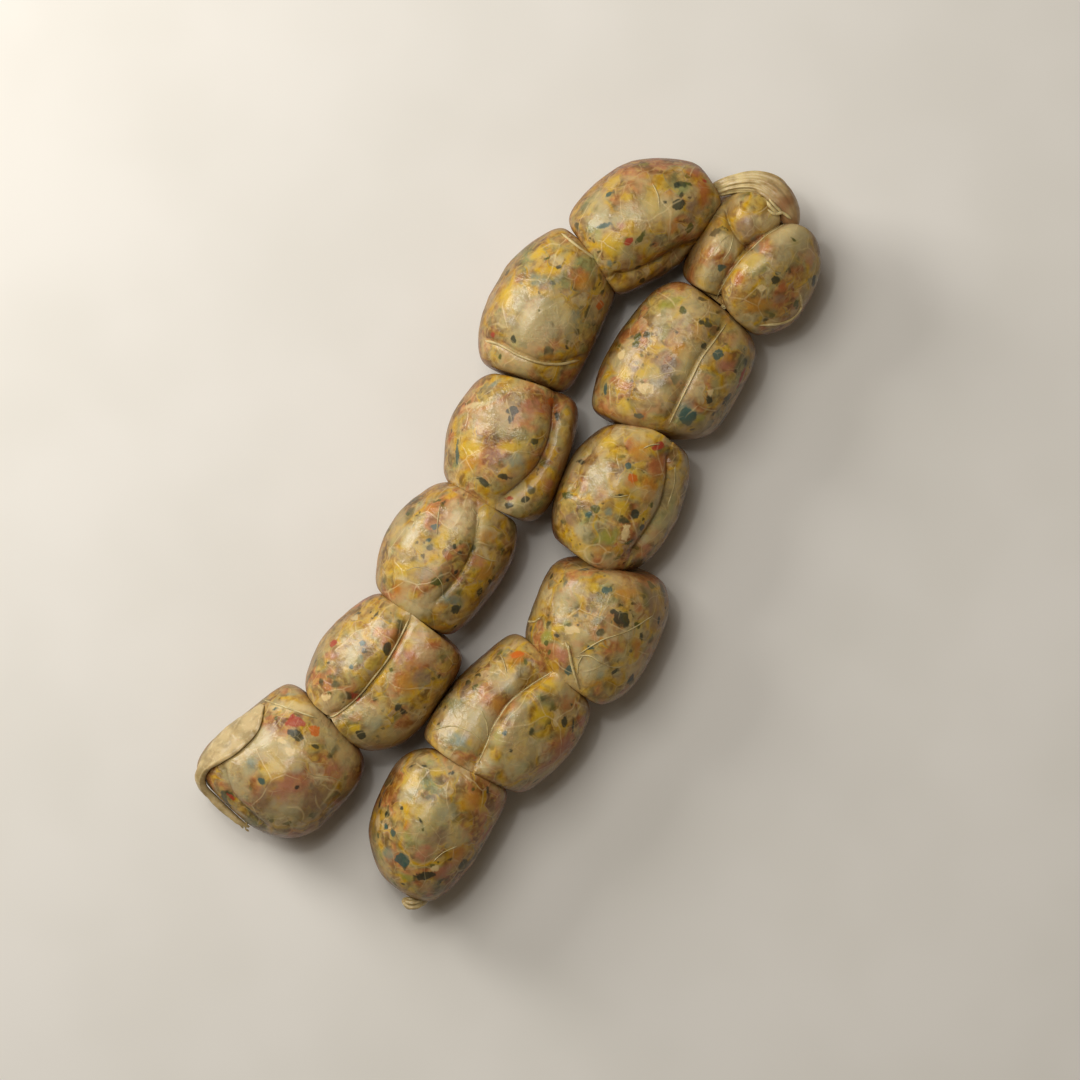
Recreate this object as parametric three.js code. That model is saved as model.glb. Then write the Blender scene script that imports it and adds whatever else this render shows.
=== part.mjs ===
// A string of fresh sausage links in natural casing, laid in a hairpin on a flat surface.
//
// Millimetres, +Z up. The surface is z = 0, the origin is the middle of the string in plan, the two
// runs of links go along +Y and the bend is at the +Y end. Link 1 is the loose end with the folded
// casing, link 12 the end with the knot. Every link is a closed body drawn between two pinches
// of the casing, squeezed flat where it meets a neighbour and where it lies on the surface.

import * as THREE from 'three';

// The links
const LINK_HEIGHT = 40;        // a filled link, before it flattens on the surface
const REST_FLAT = 2.4;         // how far it then settles
const FLOOR_SHOULDER = 2;      // how widely the skin rounds off toward the surface
const CONTACT_GAP = 0.4;       // clear distance between two links that press together
const SHOULDER = 7;            // how widely a link rounds off toward a neighbour
const PINCH_RETREAT = 2.3;     // the skin stops this far short of the middle of a pinch
const PINCH_REACH = 0.45;      // how far over the link a pinch draws the skin inward, radians
const SHIFT_REACH = 0.75;      // and how far it shifts the end of the link sideways and up
const LUMP = 0.5;              // height of the uneven filling under the skin
const TOP_ROUND = 2.05;        // how square a link is seen from the side, 2 is an ellipse

// Creases
const CREASE_STEPS = 40;       // places tried along a crease
const CREASE_FADE = 0.3;       // a crease dies away toward the widest part of the link
const CREASE_CUSP = 0.975;     // how nearly upright the lobes stand in a crease
const LAP_SPREAD = 6;          // how far the overlapping lobe stays raised
const LAP_EDGE = 1.2;          // and how soon it rises from the crease

// The twists of casing in the pinches
const TWIST_RADIUS = 0.9;
const TWIST_CLEARANCE = 1;     // from a twist to the tip of each link
const TWIST_TURNS = 0.4;
const TWIST_FOLDS = 4;
const TWIST_RIDGE = 0.18;      // height of its folds, part of the radius

// How finely the solids are divided
const LINK_RINGS = 20;
const LINK_SEGMENTS = 24;
const MOST_ROLL = 0.9;         // sine of the furthest that the rings turn to follow a crease
const CREASE_CROWDING = 0.6;   // how much closer the segments stand beside a link's first crease
const TWIST_RINGS = 5;
const TWIST_SEGMENTS = 12;
const RINGS_PER_STOP = 3;      // rings of a length of casing between two of its stops

const LINK_COLOUR = '#b59a6c';
const CASING_COLOUR = '#c9b48a';
const WET = 0.3;               // roughness of filled casing
const SLACK = 0.5;             // roughness of empty casing

// Where the casing is pinched: the middle of the twist and the heading of the string there. Where
// two links press together, p1 between links 1 and 2 and so on, also how far the earlier link
// leans over the later one, in degrees, and how strongly it bulges into it, per millimetre.
const pinches = {
  looseEnd: { at: [-93.8, -83.4, 16], turn: 45 },
  p1: { at: [-57.3, -58.8, 29], turn: 44, lean: -6, cup: -0.004 },
  p2: { at: [-30.4, -26, 30], turn: 58, lean: -5, cup: -0.004 },
  p3: { at: [-9.8, 11, 29], turn: 62, lean: 0, cup: 0 },
  p4: { at: [6.4, 48.6, 27], turn: 75, lean: 8, cup: 0.005 },
  p5: { at: [28.5, 85.5, 27], turn: 35, lean: -8, cup: -0.006 },
  sleeveStart: { at: [66.5, 109.2, 20], turn: 20 },
  sleeveEnd: { at: [86.5, 99.5, 27], turn: -126 },
  p7: { at: [67.5, 71, 27], turn: -132, lean: 8, cup: 0.006 },
  p8: { at: [47.5, 32, 25], turn: -97, lean: -10, cup: -0.01 },
  p9: { at: [31, -10, 20], turn: -99, lean: 10, cup: 0.008 },
  p10: { at: [15.7, -44.6, 28], turn: -135, lean: -4, cup: 0 },
  p11: { at: [-11, -74.5, 30], turn: -118, lean: 4, cup: 0.004 },
  knot: { at: [-32.6, -116.5, 16], turn: -118 },
};

// Links of the two runs that touch side by side, from the earlier to the later of the pair.
const sideContacts = [
  { pair: [6, 7], at: [61.8, 96.4, 20], turn: -26, lean: 10, cup: 0.008 },
  { pair: [6, 8], at: [47.5, 79, 20], turn: -75, lean: 0, cup: 0 },
  { pair: [4, 9], at: [19.8, 27.4, 20], turn: -18, lean: 0, cup: 0 },
  { pair: [2, 11], at: [-18.2, -47, 20], turn: -32, lean: 0, cup: 0 },
];

// The twelve links. mid and turn place the body in plan, blunt is how square each end is
// (2 is an ellipse), taper thickens the later end and bow bends the body to its left.
// A crease is a fold where the casing draws in between two lobes, given by a curve in plan: depth
// is how far it draws in, reach how far the lobes on its left and right take to round off, and
// lap how far the lobe on its left stands over the other. The segments follow a link's first
// crease, unless it runs across the link.
const links = [
  { ends: ['looseEnd', 'p1'], mid: [-71.3, -73], turn: 45, length: 48.5, width: 43.3,
    blunt: [2.5, 3.1], taper: -0.1, bow: -1.2,
    creases: [{ path: [[-91, -75], [-87.6, -84], [-77.5, -94]], depth: 3.4, reach: [5, 4],
      across: true }] },
  { ends: ['p1', 'p2'], mid: [-39.2, -45.8], turn: 43, length: 58.9, width: 45.5,
    blunt: [1.9, 2], taper: 0.11, bow: 0.9,
    creases: [{ path: [[-31, -26.2], [-34.9, -34.2], [-38.7, -40.6], [-42.9, -46], [-47.7, -51.8],
      [-54.1, -57.2], [-58, -58.8]], depth: 4.2, reach: [12, 8] }] },
  { ends: ['p2', 'p3'], mid: [-16.9, -9], turn: 54, length: 53.6, width: 38.9,
    blunt: [2.5, 2.1], taper: 0.02, bow: 4.1,
    creases: [{ path: [[-9.3, 7.4], [-9.9, -2.2], [-13.1, -10.2], [-17.3, -16.6], [-23.7, -23]],
      depth: 2.8, reach: [7, 8] }] },
  { ends: ['p3', 'p4'], mid: [4.8, 24.6], turn: 72, length: 53.5, width: 42.7,
    blunt: [2, 2.1], taper: 0.08, bow: 4.5,
    creases: [{ path: [[15.7, 42.6], [15, 33], [13.1, 26.6], [9.9, 20.2], [3.5, 13.8], [-1.9, 9.6]],
      depth: 5, reach: [6, 7] }] },
  { ends: ['p4', 'p5'], mid: [14.6, 71], turn: 62, length: 59, width: 36.4,
    blunt: [3.1, 2.5], taper: -0.04, bow: 2.4,
    creases: [{ path: [[-7.7, 61.2], [-2.9, 59.6], [3.5, 56], [9.9, 53.8], [16.3, 53.5],
      [22.7, 55.1]], depth: 1.6, reach: [4, 4], across: true }] },
  { ends: ['p5', 'sleeveStart'], mid: [46.6, 97.1], turn: 32, length: 53.8, width: 36.3,
    blunt: [3.1, 1.9], taper: -0.08, bow: 4.8,
    creases: [{ path: [[33, 80], [38.7, 81], [45.1, 83.6], [51.5, 86.8], [57.9, 90.6]],
      depth: 4, reach: [8, 6] }] },
  { ends: ['sleeveEnd', 'p7'], mid: [72.8, 90.5], turn: -127, length: 42.8, width: 48,
    blunt: [2, 2.6], taper: -0.01, bow: 4.6,
    creases: [
      { path: [[89.9, 99.6], [85.4, 96.7], [81, 93.8], [76.5, 89.6], [72.3, 85.2], [68.2, 79.1],
        [65.9, 74], [66.2, 68.8]], depth: 6.5, reach: [7, 13], lap: 1.2 },
      { path: [[67.6, 105], [68.8, 100.8], [71.1, 96.4], [74.3, 92.5], [77.5, 90.6]],
        depth: 4.5, reach: [6, 8] },
    ] },
  { ends: ['p7', 'p8'], mid: [50.5, 54.4], turn: -121, length: 60.9, width: 42.9,
    blunt: [3, 2.9], taper: 0.03, bow: 3.5,
    creases: [{ path: [[69.2, 66.6], [64.6, 60.2], [61.1, 55.4], [57.9, 49], [54.7, 42.6],
      [50.9, 34.6]], depth: 2.6, reach: [9, 10] }] },
  { ends: ['p8', 'p9'], mid: [32.3, 14], turn: -128, length: 57.9, width: 41,
    blunt: [1.9, 1.9], taper: 0.06, bow: 3.3,
    creases: [
      { path: [[52.2, 25], [52.2, 17], [49.9, 7.4], [45.1, -0.6], [40.3, -7]],
        depth: 3.4, reach: [5, 8] },
      { path: [[25.9, 26.6], [22.1, 21.8], [20.2, 13.8]], depth: 1.6, reach: [4, 4] },
    ] },
  { ends: ['p9', 'p10'], mid: [28.3, -28.3], turn: -113, length: 58.4, width: 42.4,
    blunt: [2, 2.3], taper: -0.05, bow: -0.1,
    creases: [{ path: [[17.9, -34.2], [19.5, -39], [21.1, -45.4], [22.7, -49.6]],
      depth: 1.2, reach: [4, 4], across: true }] },
  { ends: ['p10', 'p11'], mid: [-2.9, -55.4], turn: -136, length: 58.9, width: 43.1,
    blunt: [2.8, 2.3], taper: 0.1, bow: 5,
    creases: [{ path: [[14.1, -43.8], [8.3, -47.3], [3.5, -50.8], [-0.3, -54.4], [-2.9, -58.2],
      [-5.4, -62.4], [-6.7, -66.2], [-9.9, -73.2]], depth: 5, reach: [5.5, 12], lap: 1 }] },
  { ends: ['p11', 'knot'], mid: [-23.7, -92.9], turn: -118, length: 52.4, width: 37.6,
    blunt: [2.5, 1.9], taper: -0.05, bow: -1.8 },
];

// Slack casing from link 6 to link 7: half its width and half its height at each stop.
const sleeve = {
  name: 'slack_sleeve', segments: 16, ridge: 0.1, folds: 5,
  stops: [
    { at: [66.8, 110, 25], half: [2.6, 2.4] },
    { at: [71.4, 111.4, 27], half: [3, 2.8] },
    { at: [77.6, 112.1, 29.8], half: [3.6, 3.4] },
    { at: [82.2, 110.6, 29.5], half: [4.2, 4] },
    { at: [86.6, 107.6, 29.5], half: [4.2, 4] },
    { at: [89.8, 103.6, 28.5], half: [3.2, 3.2] },
    { at: [91.4, 100.2, 27], half: [1.8, 1.8] },
  ],
};

// The knotted tail at the end of link 12.
const knot = {
  name: 'end_knot', segments: 10, ridge: 0.1, folds: 3,
  stops: [
    { at: [-34, -117.3, 16], half: [1.2, 1.6] },
    { at: [-31.6, -118.5, 17], half: [2, 2.4] },
    { at: [-28.6, -118.1, 16.5], half: [1.8, 2.2] },
    { at: [-26.2, -117.7, 15.5], half: [0.8, 1.2] },
  ],
};

// The open end of the casing, folded back over the start of link 1 as a flat band that narrows
// to a thick rim. It lies flat against the link, so its flat side faces the link's middle.
const foldedEnd = {
  name: 'folded_casing_end', segments: 12, ridge: 0, folds: 0,
  liesOn: [-71.3, -73, LINK_HEIGHT / 2],
  stops: [
    { at: [-79.8, -53, 27.5], half: [1, 0.5] },
    { at: [-81.2, -57.8, 33.5], half: [5, 0.7] },
    { at: [-84.8, -64, 35.4], half: [6.2, 0.8] },
    { at: [-90.2, -69.8, 33.5], half: [5.8, 0.8] },
    { at: [-95.8, -72.7, 28.8], half: [3, 1] },
    { at: [-98.2, -78.1, 25.3], half: [1.7, 1.7] },
    { at: [-96.7, -84.3, 22], half: [1.8, 1.8] },
    { at: [-92.5, -89.3, 21], half: [2, 1.8] },
    { at: [-87.4, -92.5, 20], half: [1.9, 1.5] },
    { at: [-83.2, -94.2, 20], half: [0.9, 0.7] },
  ],
};

const UP = new THREE.Vector3(0, 0, 1);

/** Unit vector in plan for a heading in degrees, counted from +X toward +Y. */
function headingVector(turn) {
  return new THREE.Vector3(1, 0, 0).applyAxisAngle(UP, THREE.MathUtils.degToRad(turn));
}

/** Minimum of two values, rounded off over a given width. */
function smoothMin(a, b, width) {
  const mix = THREE.MathUtils.clamp(0.5 + 0.5 * (b - a) / width, 0, 1);
  return THREE.MathUtils.lerp(b, a, mix) - width * mix * (1 - mix);
}

/** Bell curve of height 1 at zero. */
function bell(value, width) {
  return Math.exp(-((value / width) ** 2));
}

/** Closed surface from two poles and the rings between them. pointAt(u, v) runs over 0..1. */
function closedLoft(rings, segments, pointAt) {
  const points = [pointAt(0, 0)];
  for (let ring = 1; ring < rings; ring += 1) {
    for (let segment = 0; segment < segments; segment += 1) {
      points.push(pointAt(ring / rings, segment / segments));
    }
  }
  points.push(pointAt(1, 0));
  const last = points.length - 1;
  const faces = [];
  for (let segment = 0; segment < segments; segment += 1) {
    const next = (segment + 1) % segments;
    faces.push(0, 1 + next, 1 + segment);
    for (let ring = 0; ring < rings - 2; ring += 1) {
      const row = 1 + ring * segments;
      const below = row + segments;
      faces.push(row + segment, below + next, below + segment);
      faces.push(row + segment, row + next, below + next);
    }
    const row = last - segments;
    faces.push(last, row + segment, row + next);
  }
  const geometry = new THREE.BufferGeometry().setFromPoints(points);
  geometry.setIndex(faces);
  geometry.computeVertexNormals();
  return geometry;
}

/** The surface that parts two links: its middle, its normal toward the later link and its cup. */
function dividerAt({ at, turn, lean, cup }) {
  const tilt = THREE.MathUtils.degToRad(lean);
  const normal = headingVector(turn).multiplyScalar(Math.cos(tilt)).addScaledVector(UP, -Math.sin(tilt));
  return { middle: new THREE.Vector3(...at), normal, cup };
}

/** The dividers that a link must respect, each with 1 or -1 for the side the link is on. */
function dividersOf(link, number) {
  const found = link.ends
    .map((name, end) => ({ pinch: pinches[name], side: end === 0 ? -1 : 1 }))
    .filter(({ pinch }) => pinch.lean !== undefined)
    .map(({ pinch, side }) => ({ divider: dividerAt(pinch), side }));
  const beside = sideContacts
    .filter(({ pair }) => pair.includes(number))
    .map((contact) => ({ divider: dividerAt(contact), side: contact.pair[0] === number ? 1 : -1 }));
  return [...found, ...beside];
}

/** Keeps a point on its own side of a divider. */
function keepToSide(point, { divider, side }) {
  const away = point.clone().sub(divider.middle);
  const along = away.dot(divider.normal);
  const across = away.lengthSq() - along * along;
  const depth = side * (along - divider.cup * across);
  const allowed = smoothMin(depth, -CONTACT_GAP / 2, SHOULDER);
  point.addScaledVector(divider.normal, side * (allowed - depth));
}

/** Uneven filling: two slow waves over the skin, different for each link. */
function lumpAt(direction, number) {
  const broad = Math.sin(5 * direction.x + 1.7 * number) * Math.sin(4 * direction.y + 2.3 * number);
  const fine = Math.sin(7 * direction.y + 3.1 * number) * Math.sin(6 * direction.z + 0.9 * number);
  return LUMP * (broad + 0.6 * fine);
}

/** A smooth curve in plan through the points of a crease. */
function creaseCurve({ path }) {
  return new THREE.SplineCurve(path.map(([x, y]) => new THREE.Vector2(x, y)));
}

/** How deep a crease pulls the skin in at a place in plan. */
function creasePull(crease, place) {
  const steps = crease.curve.getPoints(CREASE_STEPS);
  const gaps = steps.map((step) => step.distanceTo(place));
  const gap = Math.min(...gaps);
  const nearest = gaps.indexOf(gap);
  const ahead = crease.curve.getTangent(nearest / CREASE_STEPS);
  const onLeft = ahead.cross(place.clone().sub(steps[nearest])) > 0;
  const reach = crease.reach[onLeft ? 0 : 1];
  const inside = CREASE_CUSP * Math.max(0, 1 - gap / reach);
  const drop = (1 - Math.sqrt(1 - inside ** 2)) / (1 - Math.sqrt(1 - CREASE_CUSP ** 2));
  const raised = onLeft ? Math.exp(-gap / LAP_SPREAD) * (1 - Math.exp(-gap / LAP_EDGE)) : 0;
  return crease.depth * drop - (crease.lap ?? 0) * raised;
}

/** How far round a link, in radians to the right of the top, its crease lies at a place along it. */
function creaseRoll(link, crease, along, halfWidth) {
  const ahead = headingVector(link.turn);
  const offsets = crease.curve.getPoints(CREASE_STEPS)
    .map((point) => new THREE.Vector3(point.x - link.mid[0], point.y - link.mid[1], 0))
    .map((offset) => ({ forward: offset.dot(ahead), leftward: ahead.clone().cross(offset).z }));
  const from = along * link.length / 2;
  const missed = ({ forward }) => Math.abs(forward - from);
  const nearest = offsets.reduce((best, other) => (missed(other) < missed(best) ? other : best));
  const rightward = link.bow * (1 - along * along) - nearest.leftward;
  return Math.asin(THREE.MathUtils.clamp(rightward / halfWidth, -MOST_ROLL, MOST_ROLL));
}

/** How far the skin is drawn from the plain end of a body to the tip at its pinch. */
function pinchPull(link, end) {
  const pinch = pinches[link.ends[end]];
  const outward = end === 0 ? -1 : 1;
  const plainEnd = headingVector(link.turn).multiplyScalar(outward * link.length / 2);
  plainEnd.add(new THREE.Vector3(link.mid[0], link.mid[1], LINK_HEIGHT / 2 - REST_FLAT));
  const tip = new THREE.Vector3(...pinch.at);
  tip.addScaledVector(headingVector(pinch.turn), -outward * PINCH_RETREAT);
  return tip.sub(plainEnd);
}

/** A point of a link's skin: u runs from the start pinch to the end pinch, v round the link. */
function skinPoint(link, number, dividers, creases, u, v) {
  const polar = Math.PI * u;
  const end = u < 0.5 ? 0 : 1;
  const blunt = link.blunt[end];
  const fullness = (Math.abs(Math.cos(polar)) ** blunt + Math.sin(polar) ** blunt) ** (-1 / blunt);
  const along = -Math.cos(polar) * fullness;
  const thickness = 1 + link.taper * along;
  const halfWidth = Math.sin(polar) * fullness * thickness * link.width / 2;

  // the rings are turned so that one vertex of each lies in the crease, where they are closest
  let round = 2 * Math.PI * v;
  const followed = creases.find(({ across }) => !across);
  if (followed && halfWidth > 0) {
    round += creaseRoll(link, followed, along, halfWidth) - CREASE_CROWDING * Math.sin(round);
  }
  const direction = new THREE.Vector3(
    -Math.cos(polar),
    -Math.sin(polar) * Math.sin(round),
    Math.sin(polar) * Math.cos(round),
  );

  // the body, along X for now
  const crown = Math.max(0, 1 - Math.abs(along) ** TOP_ROUND) ** (1 / TOP_ROUND);
  let y = -Math.sin(round) * halfWidth;
  let z = Math.cos(round) * crown * thickness * LINK_HEIGHT / 2;
  const radius = Math.hypot(y, z);
  const swell = lumpAt(direction, number) * Math.sin(polar);
  if (radius > 0) {
    y *= 1 + swell / radius;
    z *= 1 + swell / radius;
  }
  y += link.bow * (1 - along * along);

  // in its place, drawn to the pinches
  const point = new THREE.Vector3(along * link.length / 2, y, z);
  point.applyAxisAngle(UP, THREE.MathUtils.degToRad(link.turn));
  point.add(new THREE.Vector3(link.mid[0], link.mid[1], LINK_HEIGHT / 2 - REST_FLAT));
  const fromPinch = end === 0 ? polar : Math.PI - polar;
  const pull = pinchPull(link, end);
  const inward = pull.clone().projectOnVector(headingVector(link.turn));
  const aside = pull.sub(inward);
  point.addScaledVector(inward, Math.exp(-((fromPinch / PINCH_REACH) ** 3)));
  point.addScaledVector(aside, bell(fromPinch, SHIFT_REACH));

  // creased, pressed against its neighbours and settled on the surface
  const onTop = THREE.MathUtils.clamp(direction.z / CREASE_FADE, 0, 1);
  for (const crease of creases) {
    const toMiddle = new THREE.Vector3(...link.mid, LINK_HEIGHT / 2 - REST_FLAT).sub(point);
    const depth = onTop * creasePull(crease, new THREE.Vector2(point.x, point.y));
    point.addScaledVector(toMiddle.normalize(), depth);
  }
  dividers.forEach((contact) => keepToSide(point, contact));
  point.z = -smoothMin(-point.z, 0, FLOOR_SHOULDER);
  return point;
}

function linkGeometry(link, number) {
  const dividers = dividersOf(link, number);
  const creases = (link.creases ?? []).map((crease) => ({ ...crease, curve: creaseCurve(crease) }));
  return closedLoft(
    LINK_RINGS,
    LINK_SEGMENTS,
    (u, v) => skinPoint(link, number, dividers, creases, u, v),
  );
}

/** A short twist of casing in the pinch between two links. */
function twistGeometry(pinch) {
  const along = headingVector(pinch.turn);
  const aside = new THREE.Vector3().crossVectors(UP, along);
  const halfLength = PINCH_RETREAT - TWIST_CLEARANCE;
  return closedLoft(TWIST_RINGS, TWIST_SEGMENTS, (u, v) => {
    const angle = 2 * Math.PI * (v + TWIST_TURNS * u);
    const ridge = 1 + TWIST_RIDGE * Math.cos(TWIST_FOLDS * 2 * Math.PI * v);
    const radius = TWIST_RADIUS * ridge * Math.sqrt(Math.sin(Math.PI * u));
    return new THREE.Vector3(...pinch.at)
      .addScaledVector(along, halfLength * (2 * u - 1))
      .addScaledVector(aside, radius * Math.cos(angle))
      .addScaledVector(UP, radius * Math.sin(angle));
  });
}

/** A tube or band of empty casing along its stops, standing on edge to UP or to what it lies on. */
function casingGeometry({ stops, segments, ridge, folds, liesOn }) {
  const path = new THREE.CatmullRomCurve3(stops.map(({ at }) => new THREE.Vector3(...at)));
  const spans = stops.length - 1;
  return closedLoft(spans * RINGS_PER_STOP, segments, (u, v) => {
    const middle = path.getPoint(u);
    const along = path.getTangent(u);
    const facing = liesOn ? middle.clone().sub(new THREE.Vector3(...liesOn)) : UP;
    const across = new THREE.Vector3().crossVectors(facing, along).normalize();
    const outward = new THREE.Vector3().crossVectors(along, across);
    const before = Math.min(Math.floor(u * spans), spans - 1);
    const mix = u * spans - before;
    const [width, height] = [0, 1].map(
      (side) => THREE.MathUtils.lerp(stops[before].half[side], stops[before + 1].half[side], mix),
    );
    const angle = 2 * Math.PI * v;
    const fullness = Math.sin(Math.PI * u) ** 0.2 * (1 + ridge * Math.cos(folds * angle));
    return middle.clone()
      .addScaledVector(across, width * fullness * Math.cos(angle))
      .addScaledVector(outward, height * fullness * Math.sin(angle));
  });
}

const group = new THREE.Group();

function addPiece(name, geometry, color, roughness) {
  const mesh = new THREE.Mesh(geometry, new THREE.MeshStandardMaterial({ color, roughness, metalness: 0 }));
  mesh.name = name;
  group.add(mesh);
}

links.forEach((link, index) => {
  const number = index + 1;
  addPiece(`link_${String(number).padStart(2, '0')}`, linkGeometry(link, number), LINK_COLOUR, WET);
  const pinch = pinches[`p${number}`];
  if (pinch) {
    addPiece(`twist_${number}_${number + 1}`, twistGeometry(pinch), CASING_COLOUR, SLACK);
  }
});
[sleeve, knot, foldedEnd].forEach((casing) => {
  addPiece(casing.name, casingGeometry(casing), CASING_COLOUR, SLACK);
});

export default group;
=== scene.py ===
"""A string of fresh sausage links in natural casing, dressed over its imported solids.

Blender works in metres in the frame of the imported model. The tables of places and sizes are in
millimetres, as they are measured on the string: +X to the right and +Y along the two runs when
seen from above, +Z up from the surface that the links lie on. MM turns them to metres.
"""

import itertools
import logging
import math
from collections.abc import Callable, Sequence
from dataclasses import dataclass, field
from enum import Enum

import bmesh
import bpy
import numpy as np
from mathutils import Matrix, Vector
from mathutils.bvhtree import BVHTree


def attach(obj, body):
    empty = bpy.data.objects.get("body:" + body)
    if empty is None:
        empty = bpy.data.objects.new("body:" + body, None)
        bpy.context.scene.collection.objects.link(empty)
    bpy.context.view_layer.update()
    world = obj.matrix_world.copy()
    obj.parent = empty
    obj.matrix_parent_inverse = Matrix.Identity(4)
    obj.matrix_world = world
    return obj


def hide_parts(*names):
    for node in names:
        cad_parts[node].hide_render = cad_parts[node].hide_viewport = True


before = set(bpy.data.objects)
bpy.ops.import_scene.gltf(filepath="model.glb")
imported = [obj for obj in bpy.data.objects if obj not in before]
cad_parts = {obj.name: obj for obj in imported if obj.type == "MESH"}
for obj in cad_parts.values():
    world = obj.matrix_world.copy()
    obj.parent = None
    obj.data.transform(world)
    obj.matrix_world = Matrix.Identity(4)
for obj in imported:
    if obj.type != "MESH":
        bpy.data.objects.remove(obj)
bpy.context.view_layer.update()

LOG = logging.getLogger("sausage_links")
MM = 0.001

# The form that a link and its solid have in common
LINK_HEIGHT = 40.0
REST_FLAT = 2.4                        # how much of its height a link loses where it rests
FLOOR_SHOULDER = 2.0                   # over how much height the underside rounds off
PINCH_REACH = 0.45                     # how far a link is drawn to its pinch, radians
SHIFT_REACH = 0.75                     # and how far it is drawn aside to it
LUMP = 0.5                             # height of the broad unevenness
TOP_ROUND = 2.05                       # how square a link is seen from the side, 2 is an ellipse
CREASE_FADE = 0.3                      # a crease dies away toward the widest part of the link
CREASE_CUSP = 0.975                    # how nearly upright the lobes stand in a crease
LAP_REACH = 6.0                        # a lobe that laps over the next comes down over this
LAP_LIP = 1.2                          # and rises over this

# What only the soft skins have
CONTACT_GAP = -2.0                     # below zero they press past the parting, in the pinch
SHOULDER = 6.0                         # how softly they round off against a neighbour
PRESS = 0.8                            # how much longer each half is, to meet its neighbour
PINCH_RETREAT = 1.2                    # how far short of the pinch a skin ends
SKIN_SEGMENTS = 260
SKIN_RINGS = 160
GRAIN = ((6.0, 0.22), (2.6, 0.1))      # cell and height of the filling pressing on the skin
PLEAT_COUNT = 15                       # folds of casing that run into each pinch
PLEAT_HEIGHT = 0.45
PLEAT_REACH = 0.5                      # how far they run out over the link, radians
NOISE_SIDE = 32                        # random values along each side of a drift field
PROBE = 60.0                           # rays at a skin start this far off
TUBE_STEPS = 400                       # places that a casing's curves are read from

# Thick casing shows as a warm tint: how strongly, and how far from where it lies
PINCH_TINT_REACH = 0.3                 # radians
STRAND_TINT = 0.35
STRAND_TINT_REACH = 1.1
STRAND_TINT_FLOOR = 15.0               # strands tint only what lies above this height
PARTING_TINT = 0.5
PARTING_TINT_REACH = 1.6

# Marks under the casing, and pale patches of painted highlight
MARK_REACH = 6.0                       # how far above and below its middle a mark goes
OUTSIDE = 9.0                          # a size that is well outside a mark
CRISP_EDGE = 1.6                       # over what width a crisp bit fades
SOFT_COVER = 0.75                      # how much of the filling a soft patch hides
SOFT_EDGE = (1.35, 0.45)               # where a soft patch begins and where it is full


def linear(hex_colour: str) -> tuple[float, float, float, float]:
    """Turns an sRGB hex colour to linear values.

    Args:
        hex_colour: six hex digits after a hash sign.

    Returns:
        Linear red, green, blue and an alpha of 1.
    """
    parts = [int(hex_colour[i:i + 2], 16) / 255 for i in (1, 3, 5)]
    values = [p / 12.92 if p <= 0.04045 else ((p + 0.055) / 1.055) ** 2.4 for p in parts]
    return (values[0], values[1], values[2], 1.0)


def smooth_min(a: np.ndarray, b: float, width: float) -> np.ndarray:
    """Returns the lesser of a and b, rounded off over width."""
    mix = np.clip(0.5 + 0.5 * (b - a) / width, 0, 1)
    return b * (1 - mix) + a * mix - width * mix * (1 - mix)


def bell(value: np.ndarray, width: float) -> np.ndarray:
    """Returns a bell curve of height 1 at zero."""
    return np.exp(-((value / width) ** 2))


def ease(value: np.ndarray, low: float, high: float) -> np.ndarray:
    """Returns 0 at low and 1 at high with a smooth slope between them."""
    t = np.clip((value - low) / (high - low), 0, 1)
    return t * t * (3 - 2 * t)


def drift(points: np.ndarray, cell: float, seed: int) -> np.ndarray:
    """Smooth random values over space.

    Args:
        points: places, one row each.
        cell: distance over which the value changes, in the unit of the places.
        seed: which random field.

    Returns:
        A value between -1 and 1 for each place.
    """
    table = np.random.default_rng(seed).uniform(-1, 1, (NOISE_SIDE,) * 3)
    grid = points / cell
    base = np.floor(grid).astype(int)
    part = grid - base
    part = part * part * (3 - 2 * part)
    total = np.zeros(len(points))
    for corner in itertools.product((0, 1), repeat=3):
        weight = np.prod(np.where(corner, part, 1 - part), axis=1)
        index = (base + corner) % NOISE_SIDE
        total += weight * table[index[:, 0], index[:, 1], index[:, 2]]
    return total


def smooth_path(points: Sequence[Sequence[float]], count: int) -> np.ndarray:
    """Draws a smooth curve through points.

    Args:
        points: two or more places.
        count: how many places to return.

    Returns:
        Places along a Catmull-Rom curve, evenly spread over its spans.
    """
    stops = np.array(points, float)
    if len(stops) == 2:
        return stops[0] + np.linspace(0, 1, count)[:, None] * (stops[1] - stops[0])
    padded = np.vstack([2 * stops[0] - stops[1], stops, 2 * stops[-1] - stops[-2]])
    at = np.linspace(0, len(stops) - 1, count)
    span = np.minimum(at.astype(int), len(stops) - 2)
    t = (at - span)[:, None]
    a, b, c, d = (padded[span + i] for i in range(4))
    return 0.5 * (2 * b + (c - a) * t + (2 * a - 5 * b + 4 * c - d) * t ** 2
                  + (3 * b - a - 3 * c + d) * t ** 3)


def heading(turn: float) -> np.ndarray:
    """Returns the unit vector in plan for a heading in degrees, from +X toward +Y."""
    return np.array([math.cos(math.radians(turn)), math.sin(math.radians(turn)), 0.0])


# ---------------------------------------------------------------- finishes

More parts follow.
